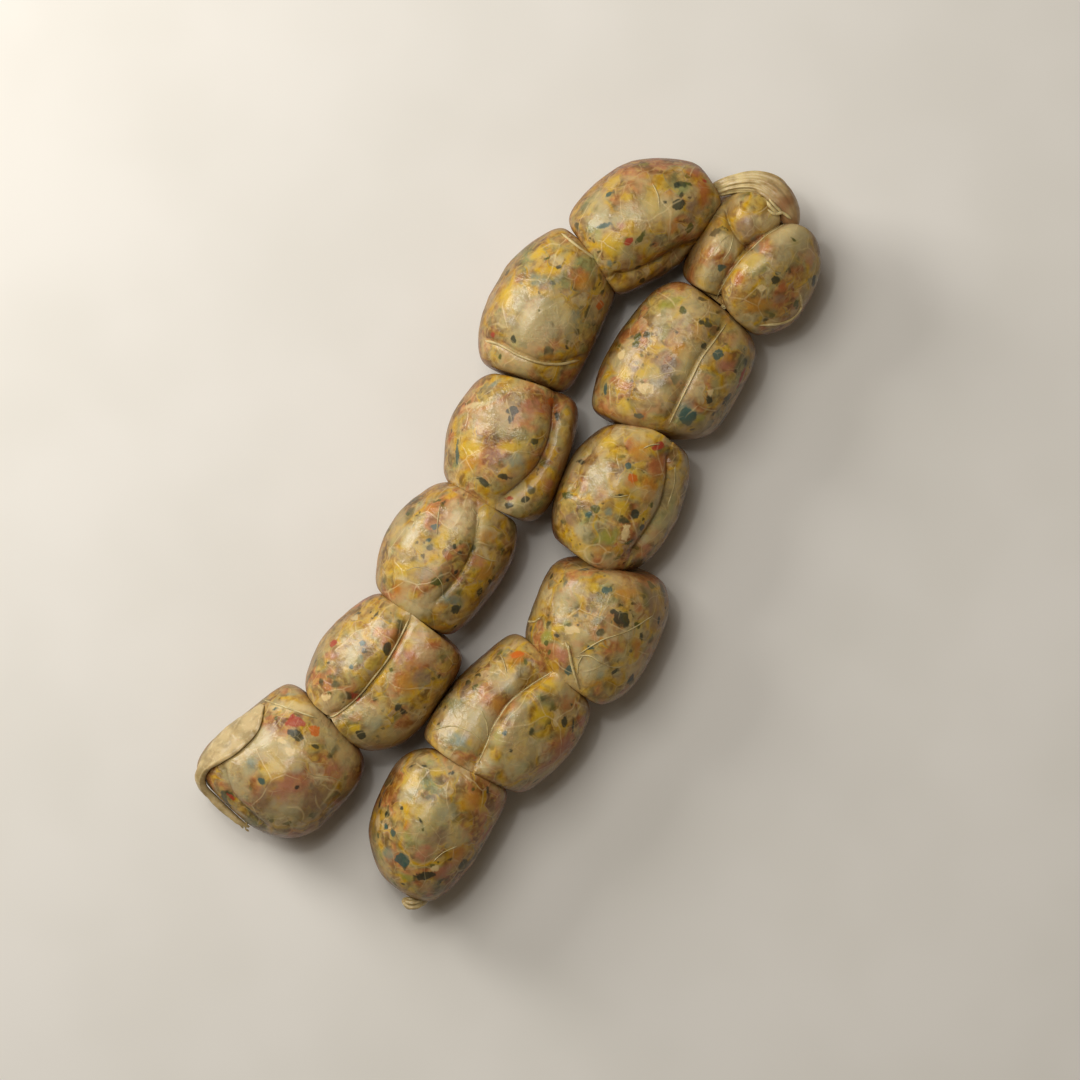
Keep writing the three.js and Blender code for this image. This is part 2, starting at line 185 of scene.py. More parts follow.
class Bit(Enum):
    """What shows through the casing at one place: its colour and how crisp its edge is."""

    LEAF = ("#2b3631", True)
    TEAL = ("#34595e", True)
    HERB = ("#4c5527", True)
    LIME = ("#8f9440", False)
    PEPPER = ("#a23a2c", True)
    CARROT = ("#c4661f", True)
    CREAM = ("#dccaa0", True)
    YELLOW = ("#cdb032", False)
    OCHRE = ("#bb8838", False)
    AMBER = ("#b8782a", False)
    RUST = ("#a8623a", False)
    ROSE = ("#b27a66", False)
    MAUVE = ("#8f7868", False)
    # milky casing; the same pale patch also serves as a painted highlight where the wet gloss shines
    # on a link's lit upper left
    MILK_AND_SHEEN = ("#b5af93", False)
    SLATE = ("#758884", False)
    FILM = ("#d2c5a2", False)

    @property
    def colour(self) -> tuple[float, float, float, float]:
        """Linear colour of the bit."""
        return linear(self.value[0])

    @property
    def crisp(self) -> bool:
        """True for a piece with a clear outline, false for a soft patch."""
        return self.value[1]


def add_node(tree: bpy.types.NodeTree, kind: str, settings: dict | None = None,
             links: dict | None = None) -> bpy.types.Node:
    """Adds one node with its settings and links.

    Args:
        tree: the material's node tree.
        kind: the node's type name.
        settings: values by property or input, an input by its name or number.
        links: output sockets by input, by its name or number.

    Returns:
        The new node.
    """
    node = tree.nodes.new(kind)
    for name, value in (settings or {}).items():
        if isinstance(name, str) and hasattr(node, name):
            setattr(node, name, value)
        else:
            node.inputs[name].default_value = value
    for name, output in (links or {}).items():
        tree.links.new(output, node.inputs[name])
    return node


def set_ramp(node: bpy.types.Node, stops: Sequence[tuple[float, str]]) -> None:
    """Sets a colour ramp's stops.

    Args:
        node: the ramp.
        stops: place and sRGB hex colour of each stop, in order.
    """
    elements = node.color_ramp.elements
    while len(elements) < len(stops):
        elements.new(1.0)
    for element, (place, colour) in zip(elements, stops):
        element.position = place
        element.color = linear(colour)


def mix_colour(tree: bpy.types.NodeTree, amount: object, below: object, above: object,
               blend: str = "MIX") -> bpy.types.NodeSocket:
    """Mixes two colours, each a socket, a hex colour or a number for the amount.

    Args:
        tree: the material's node tree.
        amount: how much of the upper colour, a socket or a number.
        below: the lower colour.
        above: the upper colour.
        blend: the way they mix.

    Returns:
        The mixed colour's socket.
    """
    settings = {"data_type": "RGBA", "blend_type": blend}
    links = {}
    for index, value in ((0, amount), (6, below), (7, above)):
        if isinstance(value, bpy.types.NodeSocket):
            links[index] = value
        else:
            settings[index] = linear(value) if isinstance(value, str) else value
    return add_node(tree, "ShaderNodeMix", settings, links).outputs[2]


def between(tree: bpy.types.NodeTree, value: bpy.types.NodeSocket, low: float, high: float,
            reach: float = 1.0) -> bpy.types.NodeSocket:
    """Maps a value to 0 at low and reach at high, smoothly.

    Args:
        tree: the material's node tree.
        value: the value's socket.
        low: the value that gives 0.
        high: the value that gives reach.
        reach: the greatest result.

    Returns:
        The result's socket.
    """
    if low < high:
        ends = {1: low, 2: high, 3: 0.0, 4: reach}
    else:
        ends = {1: high, 2: low, 3: reach, 4: 0.0}
    settings = {"interpolation_type": "SMOOTHSTEP", **ends}
    return add_node(tree, "ShaderNodeMapRange", settings, {0: value}).outputs[0]


def times(tree: bpy.types.NodeTree, a: bpy.types.NodeSocket, b: object) -> bpy.types.NodeSocket:
    """Returns the product of a socket and a socket or number."""
    if isinstance(b, bpy.types.NodeSocket):
        return add_node(tree, "ShaderNodeMath", {"operation": "MULTIPLY"}, {0: a, 1: b}).outputs[0]
    return add_node(tree, "ShaderNodeMath", {"operation": "MULTIPLY", 1: b}, {0: a}).outputs[0]


def new_material(name: str) -> bpy.types.Material:
    """Returns a new material with a node tree."""
    material = bpy.data.materials.new(name)
    material.use_nodes = True
    return material


def set_shader(tree: bpy.types.NodeTree, values: dict[str, object],
               links: dict[str, bpy.types.NodeSocket]) -> None:
    """Sets a material's surface.

    Args:
        tree: the material's node tree.
        values: values by the shader's input.
        links: output sockets by the shader's input.
    """
    shader = tree.nodes["Principled BSDF"]
    for name, value in values.items():
        shader.inputs[name].default_value = value
    for name, output in links.items():
        tree.links.new(output, shader.inputs[name])


@dataclass(frozen=True)
class FilledCasing:
    """Wet natural hog casing drawn tight over a coarse pale filling.

    The casing is a clear to milky collagen film, so the colours of the filling show softly:
    fat and bread in cream and yellow, meat in pink and brown, leaf herbs and bits of pepper.
    The film adds thin white fibres and a wet gloss, and painted shade darkens and browns the link down
    its flanks.
    """

    name: str = "wet_natural_casing_over_filling"
    patch_mm: float = 16.0         # slow change of the mix
    chunk_mm: float = 5.5          # diced pieces in the filling
    crumb_mm: float = 1.6
    leaf_mm: float = 4.2           # size of the torn herb leaves
    fibre_mm: float = 15.0         # spacing of the film's fibres
    cloud_mm: float = 12.0         # milky patches of the film
    relief_mm: float = 0.3         # height of the wrinkles in the film
    fibre: str = "#ddcfaa"
    cloud: str = "#bdb28e"
    thick: str = "#b79356"         # casing that lies in folds
    # painted shade: the colour that darkens and browns the flanks
    painted_flank_shade: str = "#9e6830"
    warmth: str = "#fff4da"        # tints everything under the film
    pepper: str = "#ab5025"
    roughness: float = 0.5
    ior: float = 1.22
    coat: float = 0.46             # the wet gloss
    coat_roughness: float = 0.23
    coat_ior: float = 1.52

    def noise(self, tree: bpy.types.NodeTree, where: bpy.types.NodeSocket, size_mm: float,
              detail: float = 2.0, shift: float = 0.0) -> bpy.types.Node:
        """Soft noise of a given size.

        Args:
            tree: the material's node tree.
            where: the coordinates.
            size_mm: size of its patches.
            detail: how many finer layers it has.
            shift: a number that makes it unlike the others of its size.

        Returns:
            The noise node.
        """
        return add_node(tree, "ShaderNodeTexNoise",
                        {"noise_dimensions": "4D", "Scale": 1 / (size_mm * MM), "Detail": detail,
                         "W": shift}, {"Vector": where})

    def coords(self, tree: bpy.types.NodeTree, bend_mm: float, size_mm: float, detail: float
               ) -> bpy.types.NodeSocket:
        """Object coordinates bent by noise, so that no pattern runs straight.

        Args:
            tree: the material's node tree.
            bend_mm: how far the pattern is pushed about.
            size_mm: size of the bends.
            detail: how many finer layers they have.

        Returns:
            The vector's socket.
        """
        place = add_node(tree, "ShaderNodeTexCoord").outputs["Object"]
        noise = add_node(tree, "ShaderNodeTexNoise",
                         {"Scale": 1 / (size_mm * MM), "Detail": detail},
                         {"Vector": place}).outputs["Color"]
        centred = add_node(tree, "ShaderNodeVectorMath",
                           {"operation": "SUBTRACT", 1: (0.5, 0.5, 0.5)}, {0: noise}).outputs[0]
        reach = 2 * bend_mm * MM
        return add_node(tree, "ShaderNodeVectorMath",
                        {"operation": "MULTIPLY_ADD", 1: (reach, reach, reach)},
                        {0: centred, 2: place}).outputs[0]

    def filling(self, tree: bpy.types.NodeTree) -> bpy.types.NodeSocket:
        """Colour of the filling, from slow patches down to crumbs.

        Args:
            tree: the material's node tree.

        Returns:
            The colour's socket.
        """
        where = self.coords(tree, 1.6, 5.0, 1.0)
        slow = self.noise(tree, where, self.patch_mm, 2.0)
        broad = add_node(tree, "ShaderNodeValToRGB", links={0: slow.outputs[0]})
        set_ramp(broad, ((0.36, "#8e9468"), (0.43, "#b09a72"), (0.48, "#c4a010"),
                         (0.53, "#a2986c"), (0.58, "#b98258"), (0.65, "#8f6430")))
        diced = add_node(tree, "ShaderNodeTexVoronoi",
                         {"feature": "SMOOTH_F1", "Smoothness": 0.35,
                          "Scale": 1 / (self.chunk_mm * MM)}, {"Vector": where})
        pick = add_node(tree, "ShaderNodeSeparateColor", links={0: diced.outputs["Color"]})
        chunk = add_node(tree, "ShaderNodeValToRGB", links={0: pick.outputs[0]})
        set_ramp(chunk, ((0.2, "#765a2c"), (0.33, "#a9805a"), (0.42, "#b5a68a"),
                         (0.5, "#c9a40a"), (0.6, "#bfa650"), (0.68, "#8c8c72"),
                         (0.78, "#b48624"), (0.88, "#c6bca0")))
        share = self.noise(tree, where, 6.0, 2.0, 15.0).outputs[0]
        colour = mix_colour(tree, between(tree, share, 0.44, 0.6, 0.75), broad.outputs[0],
                            chunk.outputs[0])
        torn = self.noise(tree, where, self.crumb_mm * 2.2, 2.0, 7.0).outputs[0]
        colour = mix_colour(tree, between(tree, torn, 0.44, 0.66, 0.45), colour,
                            mix_colour(tree, 1.0, colour, "#ae8c5e", "MULTIPLY"))
        crumbs = self.noise(tree, where, self.crumb_mm, 1.0, 3.0).outputs[0]
        colour = mix_colour(tree, between(tree, crumbs, 0.46, 0.34, 0.35), colour,
                            mix_colour(tree, 1.0, colour, "#ae8a48", "MULTIPLY"))
        return mix_colour(tree, between(tree, crumbs, 0.52, 0.66, 0.4), colour, "#c9ae62")

    def bits(self, tree: bpy.types.NodeTree, colour: bpy.types.NodeSocket) -> bpy.types.NodeSocket:
        """Lays torn herbs and pepper over the filling's colour.

        Args:
            tree: the material's node tree.
            colour: the filling's colour.

        Returns:
            The colour's socket.
        """
        where = self.coords(tree, 0.7, 2.0, 2.0)
        herbs = self.noise(tree, where, 19.0, 1.0, 11.0).outputs[0]
        clump = between(tree, herbs, 0.36, 0.54)
        kinds = (
            (self.leaf_mm * 1.7, 0.6, 0.12, 21.0, "#5f674a", 0.6),
            (self.leaf_mm, 0.65, 0.07, 5.0, "#3b4331", 0.85),
            (self.leaf_mm * 0.8, 0.66, 0.08, 31.0, "#585820", 0.75),
            (self.leaf_mm * 0.5, 0.68, 0.08, 41.0, "#34341a", 0.8),
        )
        for size_mm, level, edge, shift, tint, depth in kinds:
            spots = self.noise(tree, where, size_mm, 0.6, shift).outputs[0]
            cover = between(tree, spots, level, level + edge, depth)
            colour = mix_colour(tree, times(tree, cover, clump), colour, tint)
        red = self.noise(tree, where, 7.0, 0.0, 51.0).outputs[0]
        return mix_colour(tree, between(tree, red, 0.72, 0.84, 0.6), colour, self.pepper)

    def film(self, tree: bpy.types.NodeTree) -> tuple[bpy.types.NodeSocket, bpy.types.NodeSocket]:
        """The casing itself: thin white fibres, and milky patches where it is thicker.

        Args:
            tree: the material's node tree.

        Returns:
            Coverage of the fibres and of the milky patches.
        """
        where = self.coords(tree, 1.6, 7.0, 1.0)
        place = self.noise(tree, where, 9.0, 1.0, 61.0).outputs[0]
        kept = between(tree, place, 0.46, 0.6)
        thin = between(tree, place, 0.52, 0.4)
        web = add_node(tree, "ShaderNodeTexVoronoi",
                       {"feature": "DISTANCE_TO_EDGE", "Scale": 1 / (self.fibre_mm * MM)},
                       {"Vector": where}).outputs["Distance"]
        net = add_node(tree, "ShaderNodeTexVoronoi",
                       {"feature": "DISTANCE_TO_EDGE", "Scale": 1 / (self.fibre_mm * 0.45 * MM)},
                       {"Vector": where}).outputs["Distance"]
        fibres = add_node(tree, "ShaderNodeMath", {"operation": "MAXIMUM"},
                          {0: times(tree, between(tree, web, 0.024, 0.0), kept),
                           1: times(tree, between(tree, net, 0.035, 0.0, 0.6), thin)}).outputs[0]
        cloud = self.noise(tree, where, self.cloud_mm, 3.0, 71.0).outputs[0]
        return fibres, between(tree, cloud, 0.49, 0.64)

    def colour(self, tree: bpy.types.NodeTree, place: bpy.types.NodeSocket,
               fibres: bpy.types.NodeSocket, cloud: bpy.types.NodeSocket) -> bpy.types.NodeSocket:
        """Colour of the whole, from the filling up through the film.

        Args:
            tree: the material's node tree.
            place: object coordinates.
            fibres: coverage of the film's fibres.
            cloud: coverage of its milky patches.

        Returns:
            The colour's socket.
        """
        colour = self.bits(tree, self.filling(tree))
        # soft patches of filling and film, some of them painted highlights
        soft_patch_and_sheen = add_node(tree, "ShaderNodeAttribute", {"attribute_name": "soft_patch_and_sheen"})
        ragged = self.noise(tree, place, 2.4, 3.0, 81.0).outputs[0]
        torn = between(tree, ragged, 0.3, 0.62)
        cover = add_node(tree, "ShaderNodeMath", {"operation": "MULTIPLY_ADD", 1: 0.5, 2: 0.62},
                         {0: torn}).outputs[0]
        colour = mix_colour(tree, times(tree, soft_patch_and_sheen.outputs["Alpha"], cover), colour,
                            soft_patch_and_sheen.outputs["Color"])
        colour = mix_colour(tree, times(tree, cloud, 0.6), colour, self.cloud)
        fleck = add_node(tree, "ShaderNodeAttribute", {"attribute_name": "fleck"})
        jag = self.noise(tree, place, 1.1, 2.0, 91.0).outputs[0]
        edge = add_node(tree, "ShaderNodeMath", {"operation": "MULTIPLY_ADD", 1: 0.7},
                        {0: jag, 2: fleck.outputs["Alpha"]}).outputs[0]
        colour = mix_colour(tree, between(tree, edge, 0.72, 1.04, 0.86), colour,
                            fleck.outputs["Color"])
        crease = add_node(tree, "ShaderNodeAttribute", {"attribute_name": "crease"}).outputs["Fac"]
        colour = mix_colour(tree, times(tree, fibres, 0.4), colour, self.fibre)
        colour = mix_colour(tree, times(tree, crease, 0.4), colour, self.thick)
        up = add_node(tree, "ShaderNodeSeparateXYZ",
                      links={0: add_node(tree, "ShaderNodeNewGeometry").outputs["Normal"]})
        # painted shade: the flanks grow darker and browner the further they turn from facing up
        painted_flank_shade = between(tree, up.outputs[2], 0.8, -0.05, 0.72)
        colour = mix_colour(tree, painted_flank_shade, colour, self.painted_flank_shade, "MULTIPLY")
        return mix_colour(tree, 1.0, colour, self.warmth, "MULTIPLY")

    def relief(self, tree: bpy.types.NodeTree, place: bpy.types.NodeSocket,
               fibres: bpy.types.NodeSocket) -> bpy.types.NodeSocket:
        """Fine wrinkles of the film, tight ones in patches, and its fibres.

        Args:
            tree: the material's node tree.
            place: object coordinates.
            fibres: coverage of the film's fibres.

        Returns:
            The bumped normal's socket.
        """
        fine = self.noise(tree, place, 2.0, 3.0).outputs[0]
        patch = between(tree, self.noise(tree, place, 7.0, 1.0, 111.0).outputs[0], 0.5, 0.62)
        rumple = times(tree, self.noise(tree, place, 0.9, 1.0, 121.0).outputs[0], patch)
        height = add_node(tree, "ShaderNodeMath", {"operation": "MULTIPLY_ADD", 1: 1.1},
                          {0: rumple, 2: fine}).outputs[0]
        height = add_node(tree, "ShaderNodeMath", {"operation": "MULTIPLY_ADD", 1: 0.22},
                          {0: fibres, 2: height}).outputs[0]
        return add_node(tree, "ShaderNodeBump", {"Strength": 0.6, "Distance": self.relief_mm * MM},
                        {"Height": height}).outputs[0]

    def make(self) -> bpy.types.Material:
        """Returns the material."""
        material = new_material(self.name)
        tree = material.node_tree
        place = add_node(tree, "ShaderNodeTexCoord").outputs["Object"]
        fibres, cloud = self.film(tree)
        colour = self.colour(tree, place, fibres, cloud)
        bump = self.relief(tree, place, fibres)
        wet = self.noise(tree, place, 5.0, 2.0, 101.0).outputs[0]
        dull = between(tree, wet, 0.4, 0.6, 0.2)
        rough = add_node(tree, "ShaderNodeMath", {"operation": "ADD", 1: self.roughness - 0.08},
                         {0: dull}).outputs[0]
        set_shader(tree,
                   {"IOR": self.ior, "Subsurface Weight": 0.15,
                    "Subsurface Radius": (1.0, 0.5, 0.25), "Subsurface Scale": 1.5 * MM,
                    "Coat Weight": self.coat, "Coat Roughness": self.coat_roughness,
                    "Coat IOR": self.coat_ior},
                   {"Base Color": colour, "Roughness": rough, "Normal": bump,
                    "Coat Normal": bump})
        return material


@dataclass(frozen=True)
class EmptyCasing:
    """Moist natural casing with nothing in it: cream collagen, folded, fibrous and satin."""

    name: str = "moist_empty_casing"
    pale: str = "#ccb882"
    deep: str = "#ab9460"
    light: str = "#e0cda0"
    blush: str = "#94623c"         # filling that shows through it
    cloud_mm: float = 5.0          # thicker and thinner patches
    fibre_mm: float = 1.4
    relief_mm: float = 0.3         # height of its fibres
    roughness: float = 0.46
    ior: float = 1.42
    coat: float = 0.35             # the moist sheen
    coat_roughness: float = 0.25

    def make(self) -> bpy.types.Material:
        """Returns the material."""
        material = new_material(self.name)
        tree = material.node_tree
        place = add_node(tree, "ShaderNodeTexCoord").outputs["Object"]
        slow = add_node(tree, "ShaderNodeTexNoise",
                        {"Scale": 1 / (self.cloud_mm * MM), "Detail": 3.0},
                        {"Vector": place}).outputs[0]
        fine = add_node(tree, "ShaderNodeTexNoise",
                        {"Scale": 1 / (self.fibre_mm * MM), "Detail": 3.0},
                        {"Vector": place}).outputs[0]
        colour = mix_colour(tree, between(tree, slow, 0.38, 0.62), self.pale, self.deep)
        colour = mix_colour(tree, between(tree, fine, 0.5, 0.75, 0.4), colour, self.light)
        blush = add_node(tree, "ShaderNodeAttribute", {"attribute_name": "crease"}).outputs["Fac"]
        colour = mix_colour(tree, blush, colour, self.blush)
        bump = add_node(tree, "ShaderNodeBump",
                        {"Strength": 0.45, "Distance": self.relief_mm * MM},
                        {"Height": fine}).outputs[0]
        set_shader(tree,
                   {"IOR": self.ior, "Roughness": self.roughness, "Subsurface Weight": 0.25,
                    "Subsurface Radius": (1.0, 0.6, 0.35), "Subsurface Scale": 2.0 * MM,
                    "Coat Weight": self.coat, "Coat Roughness": self.coat_roughness},
                   {"Base Color": colour, "Normal": bump})
        return material


@dataclass(frozen=True)
class PaleBoard:
    """Matt white painted board under the string, very slightly cloudy."""

    name: str = "matt_painted_board"
    dark: str = "#e4e1da"
    light: str = "#e9e6e0"
    cloud_mm: float = 60.0
    roughness: float = 0.75

    def make(self) -> bpy.types.Material:
        """Returns the material."""
        material = new_material(self.name)
        tree = material.node_tree
        place = add_node(tree, "ShaderNodeTexCoord").outputs["Object"]
        cloud = add_node(tree, "ShaderNodeTexNoise", {"Scale": 1 / (self.cloud_mm * MM)},
                         {"Vector": place}).outputs[0]
        colour = mix_colour(tree, between(tree, cloud, 0.3, 0.7), self.dark, self.light)
        set_shader(tree, {"Roughness": self.roughness}, {"Base Color": colour})
        return material


# ---------------------------------------------------------------- meshes

def plain_ball(segments: int, rings: int) -> bpy.types.Mesh:
    """Makes a ball of radius 1, or returns the one made before.

    Args:
        segments: divisions round the ball's axis.
        rings: divisions from pole to pole.

    Returns:
        The ball's mesh, with its faces outward.
    """
    name = f"ball_{segments}_{rings}"
    if name not in bpy.data.meshes:
        shell = bmesh.new()
        bmesh.ops.create_uvsphere(shell, u_segments=segments, v_segments=rings, radius=1.0)
        for face in shell.faces:
            face.smooth = True
        shell.to_mesh(bpy.data.meshes.new(name))
        shell.free()
    return bpy.data.meshes[name]


def ball_angles(mesh: bpy.types.Mesh) -> tuple[np.ndarray, np.ndarray]:
    """Returns the angle of each point of a ball from its first pole, and round its axis."""
    unit = np.zeros(len(mesh.vertices) * 3)
    mesh.vertices.foreach_get("co", unit)
    unit = unit.reshape(-1, 3)
    return np.arccos(np.clip(-unit[:, 2], -1, 1)), np.arctan2(unit[:, 1], unit[:, 0])


def ball_mesh(name: str, segments: int, rings: int,
              shape: Callable[[np.ndarray, np.ndarray], np.ndarray]) -> bpy.types.Object:
    """Makes a closed piece from a ball whose points are moved.

    Args:
        name: the piece's name.
        segments: divisions round the ball's axis.
        rings: divisions from pole to pole.
        shape: gives the places in millimetres from the angle that each point has from the first
            pole and the angle round the axis, both in radians.

    Returns:
        The new object, at the origin.
    """
    mesh = plain_ball(segments, rings).copy()
    mesh.name = name
    mesh.vertices.foreach_set("co", (shape(*ball_angles(mesh)) * MM).ravel())
    mesh.update()
    if signed_volume(mesh) < 0:
        mesh.flip_normals()
    return show(name, mesh)


def signed_volume(mesh: bpy.types.Mesh) -> float:
    """Returns a closed mesh's volume, below zero where its faces look inward."""
    shell = bmesh.new()
    shell.from_mesh(mesh)
    volume = shell.calc_volume(signed=True)
    shell.free()
    return volume


def show(name: str, mesh: bpy.types.Mesh) -> bpy.types.Object:
    """Returns a new object at the origin that shows a mesh."""
    piece = bpy.data.objects.new(name, mesh)
    bpy.context.scene.collection.objects.link(piece)
    return piece


def finish_mesh(name: str, mesh: bpy.types.Mesh) -> bpy.types.Object:
    """Turns a mesh's faces outward, smooths it and makes its object.

    Args:
        name: the piece's name.
        mesh: its mesh, in metres.

    Returns:
        The new object, at the origin.
    """
    shell = bmesh.new()
    shell.from_mesh(mesh)
    bmesh.ops.recalc_face_normals(shell, faces=shell.faces)
    if shell.calc_volume(signed=True) < 0:
        bmesh.ops.reverse_faces(shell, faces=shell.faces)
    for face in shell.faces:
        face.smooth = True
    shell.to_mesh(mesh)
    shell.free()
    mesh.update()
    return show(name, mesh)


def sweep(name: str, path: np.ndarray, radii: np.ndarray, sides: int = 8,
          flat: float = 1.0) -> bpy.types.Object:
    """Makes a closed strand along a path.

    Args:
        name: the piece's name.
        path: places in millimetres.
        radii: the strand's radius at each place.
        sides: sides of its section.
        flat: height of the section, part of its width.

    Returns:
        The new object, at the origin.
    """
    frames = []
    for place, tangent, radius in zip(path, np.gradient(path, axis=0), radii):
        along = Vector(tangent).normalized()
        side = along.cross(Vector((0, 0, 1)))
        if side.length < 0.05:
            side = along.cross(Vector((1, 0, 0)))
        side.normalize()
        turn = Matrix((side, side.cross(along), along)).transposed().to_4x4()
        size = Matrix.Diagonal((radius * MM, radius * flat * MM, 1.0, 1.0))
        frames.append(Matrix.Translation(Vector(place) * MM) @ turn @ size)
    strand = bmesh.new()
    bmesh.ops.create_circle(strand, cap_ends=True, segments=sides, radius=1.0, matrix=frames[0])
    ring = strand.edges[:]
    for before, after in zip(frames, frames[1:]):
        grown = bmesh.ops.extrude_edge_only(strand, edges=ring)["geom"]
        corners = {part for part in grown if isinstance(part, bmesh.types.BMVert)}
        ring = [part for part in grown
                if isinstance(part, bmesh.types.BMEdge) and corners.issuperset(part.verts)]
        bmesh.ops.transform(strand, matrix=after @ before.inverted(), verts=list(corners))
    bmesh.ops.contextual_create(strand, geom=ring)
    mesh = bpy.data.meshes.new(name)
    strand.to_mesh(mesh)
    strand.free()
    return finish_mesh(name, mesh)


def read_points(piece: bpy.types.Object) -> np.ndarray:
    """Returns the places of a piece's vertices in millimetres."""
    values = np.zeros(len(piece.data.vertices) * 3)
    piece.data.vertices.foreach_get("co", values)
    return values.reshape(-1, 3) / MM


def read_normals(piece: bpy.types.Object) -> np.ndarray:
    """Returns the normals at a piece's vertices."""
    values = np.zeros(len(piece.data.vertices) * 3)
    piece.data.vertices.foreach_get("normal", values)
    return values.reshape(-1, 3)


def write_mask(piece: bpy.types.Object, name: str, values: np.ndarray) -> None:
    """Stores one value from 0 to 1 for each vertex of a piece."""
    layer = piece.data.attributes.new(name, "FLOAT", "POINT")
    layer.data.foreach_set("value", values.astype(np.float32))


def write_colours(piece: bpy.types.Object, name: str, colours: np.ndarray) -> None:
    """Stores one linear colour with alpha for each vertex of a piece."""
    layer = piece.data.attributes.new(name, "FLOAT_COLOR", "POINT")
    layer.data.foreach_set("color", colours.astype(np.float32).ravel())


# ---------------------------------------------------------------- the string

@dataclass(frozen=True)
class Pinch:
    """A place where the casing is twisted shut, and how the links beside it press together."""

    at: tuple[float, float, float]
    turn: float
    lean: float | None = None      # the earlier link leans over the later one, degrees
    cup: float = 0.0               # and bulges into it, per millimetre

    def divider(self) -> tuple[np.ndarray, np.ndarray, float]:
        """Returns the middle, the normal toward the later link and the cup of the parting."""
        tilt = math.radians(self.lean)
        normal = heading(self.turn) * math.cos(tilt) - np.array([0, 0, math.sin(tilt)])
        return np.array(self.at, float), normal, self.cup


PINCHES = {
    "loose_end": Pinch((-93.8, -83.4, 16), 45),
    "p1": Pinch((-57.3, -58.8, 29), 44, -6, -0.004),
    "p2": Pinch((-30.4, -26, 30), 58, -5, -0.004),
    "p3": Pinch((-9.8, 11, 29), 62, 0, 0),
    "p4": Pinch((6.4, 48.6, 27), 75, 8, 0.005),
    "p5": Pinch((28.5, 85.5, 27), 35, -8, -0.006),
    "sleeve_start": Pinch((66.5, 109.2, 20), 20),
    "sleeve_end": Pinch((86.5, 99.5, 27), -126),
    "p7": Pinch((67.5, 71, 27), -132, 8, 0.006),
    "p8": Pinch((47.5, 32, 25), -97, -10, -0.01),
    "p9": Pinch((31, -10, 20), -99, 10, 0.008),
    "p10": Pinch((15.7, -44.6, 28), -135, -4, 0),
    "p11": Pinch((-11, -74.5, 30), -118, 4, 0.004),
    "knot": Pinch((-32.6, -116.5, 16), -118),
}

SIDE_CONTACTS = (
    ((6, 7), Pinch((61.8, 96.4, 20), -26, 10, 0.008)),
    ((6, 8), Pinch((47.5, 79, 20), -75, 0, 0)),
    ((4, 9), Pinch((19.8, 27.4, 20), -18, 0, 0)),
    ((2, 11), Pinch((-18.2, -47, 20), -32, 0, 0)),
)


def beyond(points: np.ndarray, middle: np.ndarray, normal: np.ndarray, cup: float
           ) -> np.ndarray:
    """How far points lie beyond a parting.

    Args:
        points: places, one row each.
        middle: the middle of the parting.
        normal: its normal, toward the later link.
        cup: how much it bulges, per millimetre.

    Returns:
        The distance of each, below zero on the earlier link's side.
    """
    away = points - middle
    along = away @ normal
    across = (away * away).sum(axis=1) - along * along
    return along - cup * across


@dataclass(frozen=True)
class Crease:
    """A fold where the casing draws in between two lobes of a link, given by a curve in plan."""

    path: tuple[tuple[float, float], ...]
    depth: float
    reach: tuple[float, float]     # how far the lobes on its left and right take to round off
    lap: float = 0.0               # how far the lobe on its left stands over the other
    strand: float = 0.0            # radius of the taut edge of casing that lies in it

    def pull(self, places: np.ndarray) -> tuple[np.ndarray, np.ndarray]:
        """How deep the crease draws the skin in.

        Args:
            places: places in plan.

        Returns:
            The depth at each place, and the distance to the crease.
        """
        curve = smooth_path(self.path, 16 * len(self.path))
        away = places[:, None, :] - curve[None]
        gaps = np.linalg.norm(away, axis=2)
        nearest = gaps.argmin(axis=1)
        rows = np.arange(len(places))
        ahead = np.gradient(curve, axis=0)[nearest]
        offset = away[rows, nearest]
        left = ahead[:, 0] * offset[:, 1] - ahead[:, 1] * offset[:, 0] > 0
        gap = gaps[rows, nearest]
        inside = CREASE_CUSP * np.clip(1 - gap / np.where(left, *self.reach), 0, 1)
        full = 1 - math.sqrt(1 - CREASE_CUSP ** 2)
        depth = self.depth * (1 - np.sqrt(1 - inside ** 2)) / full
        raised = self.lap * np.exp(-gap / LAP_REACH) * (1 - np.exp(-gap / LAP_LIP))
        return depth - np.where(left, raised, 0), gap


@dataclass(frozen=True)
class Mark:
    """A bit of the filling that shows through the casing at one place in plan, or a pale patch of
    painted highlight.
    """

    kind: Bit
    x: float
    y: float
    length: float
    width: float
    turn: float = 0.0


@dataclass(frozen=True)
class Line:
    """A strand or fold of casing on a link, drawn by a curve in plan."""

    path: tuple[tuple[float, float], ...]
    radius: float
    sunk: float = 0.3              # part of the radius that lies in the skin


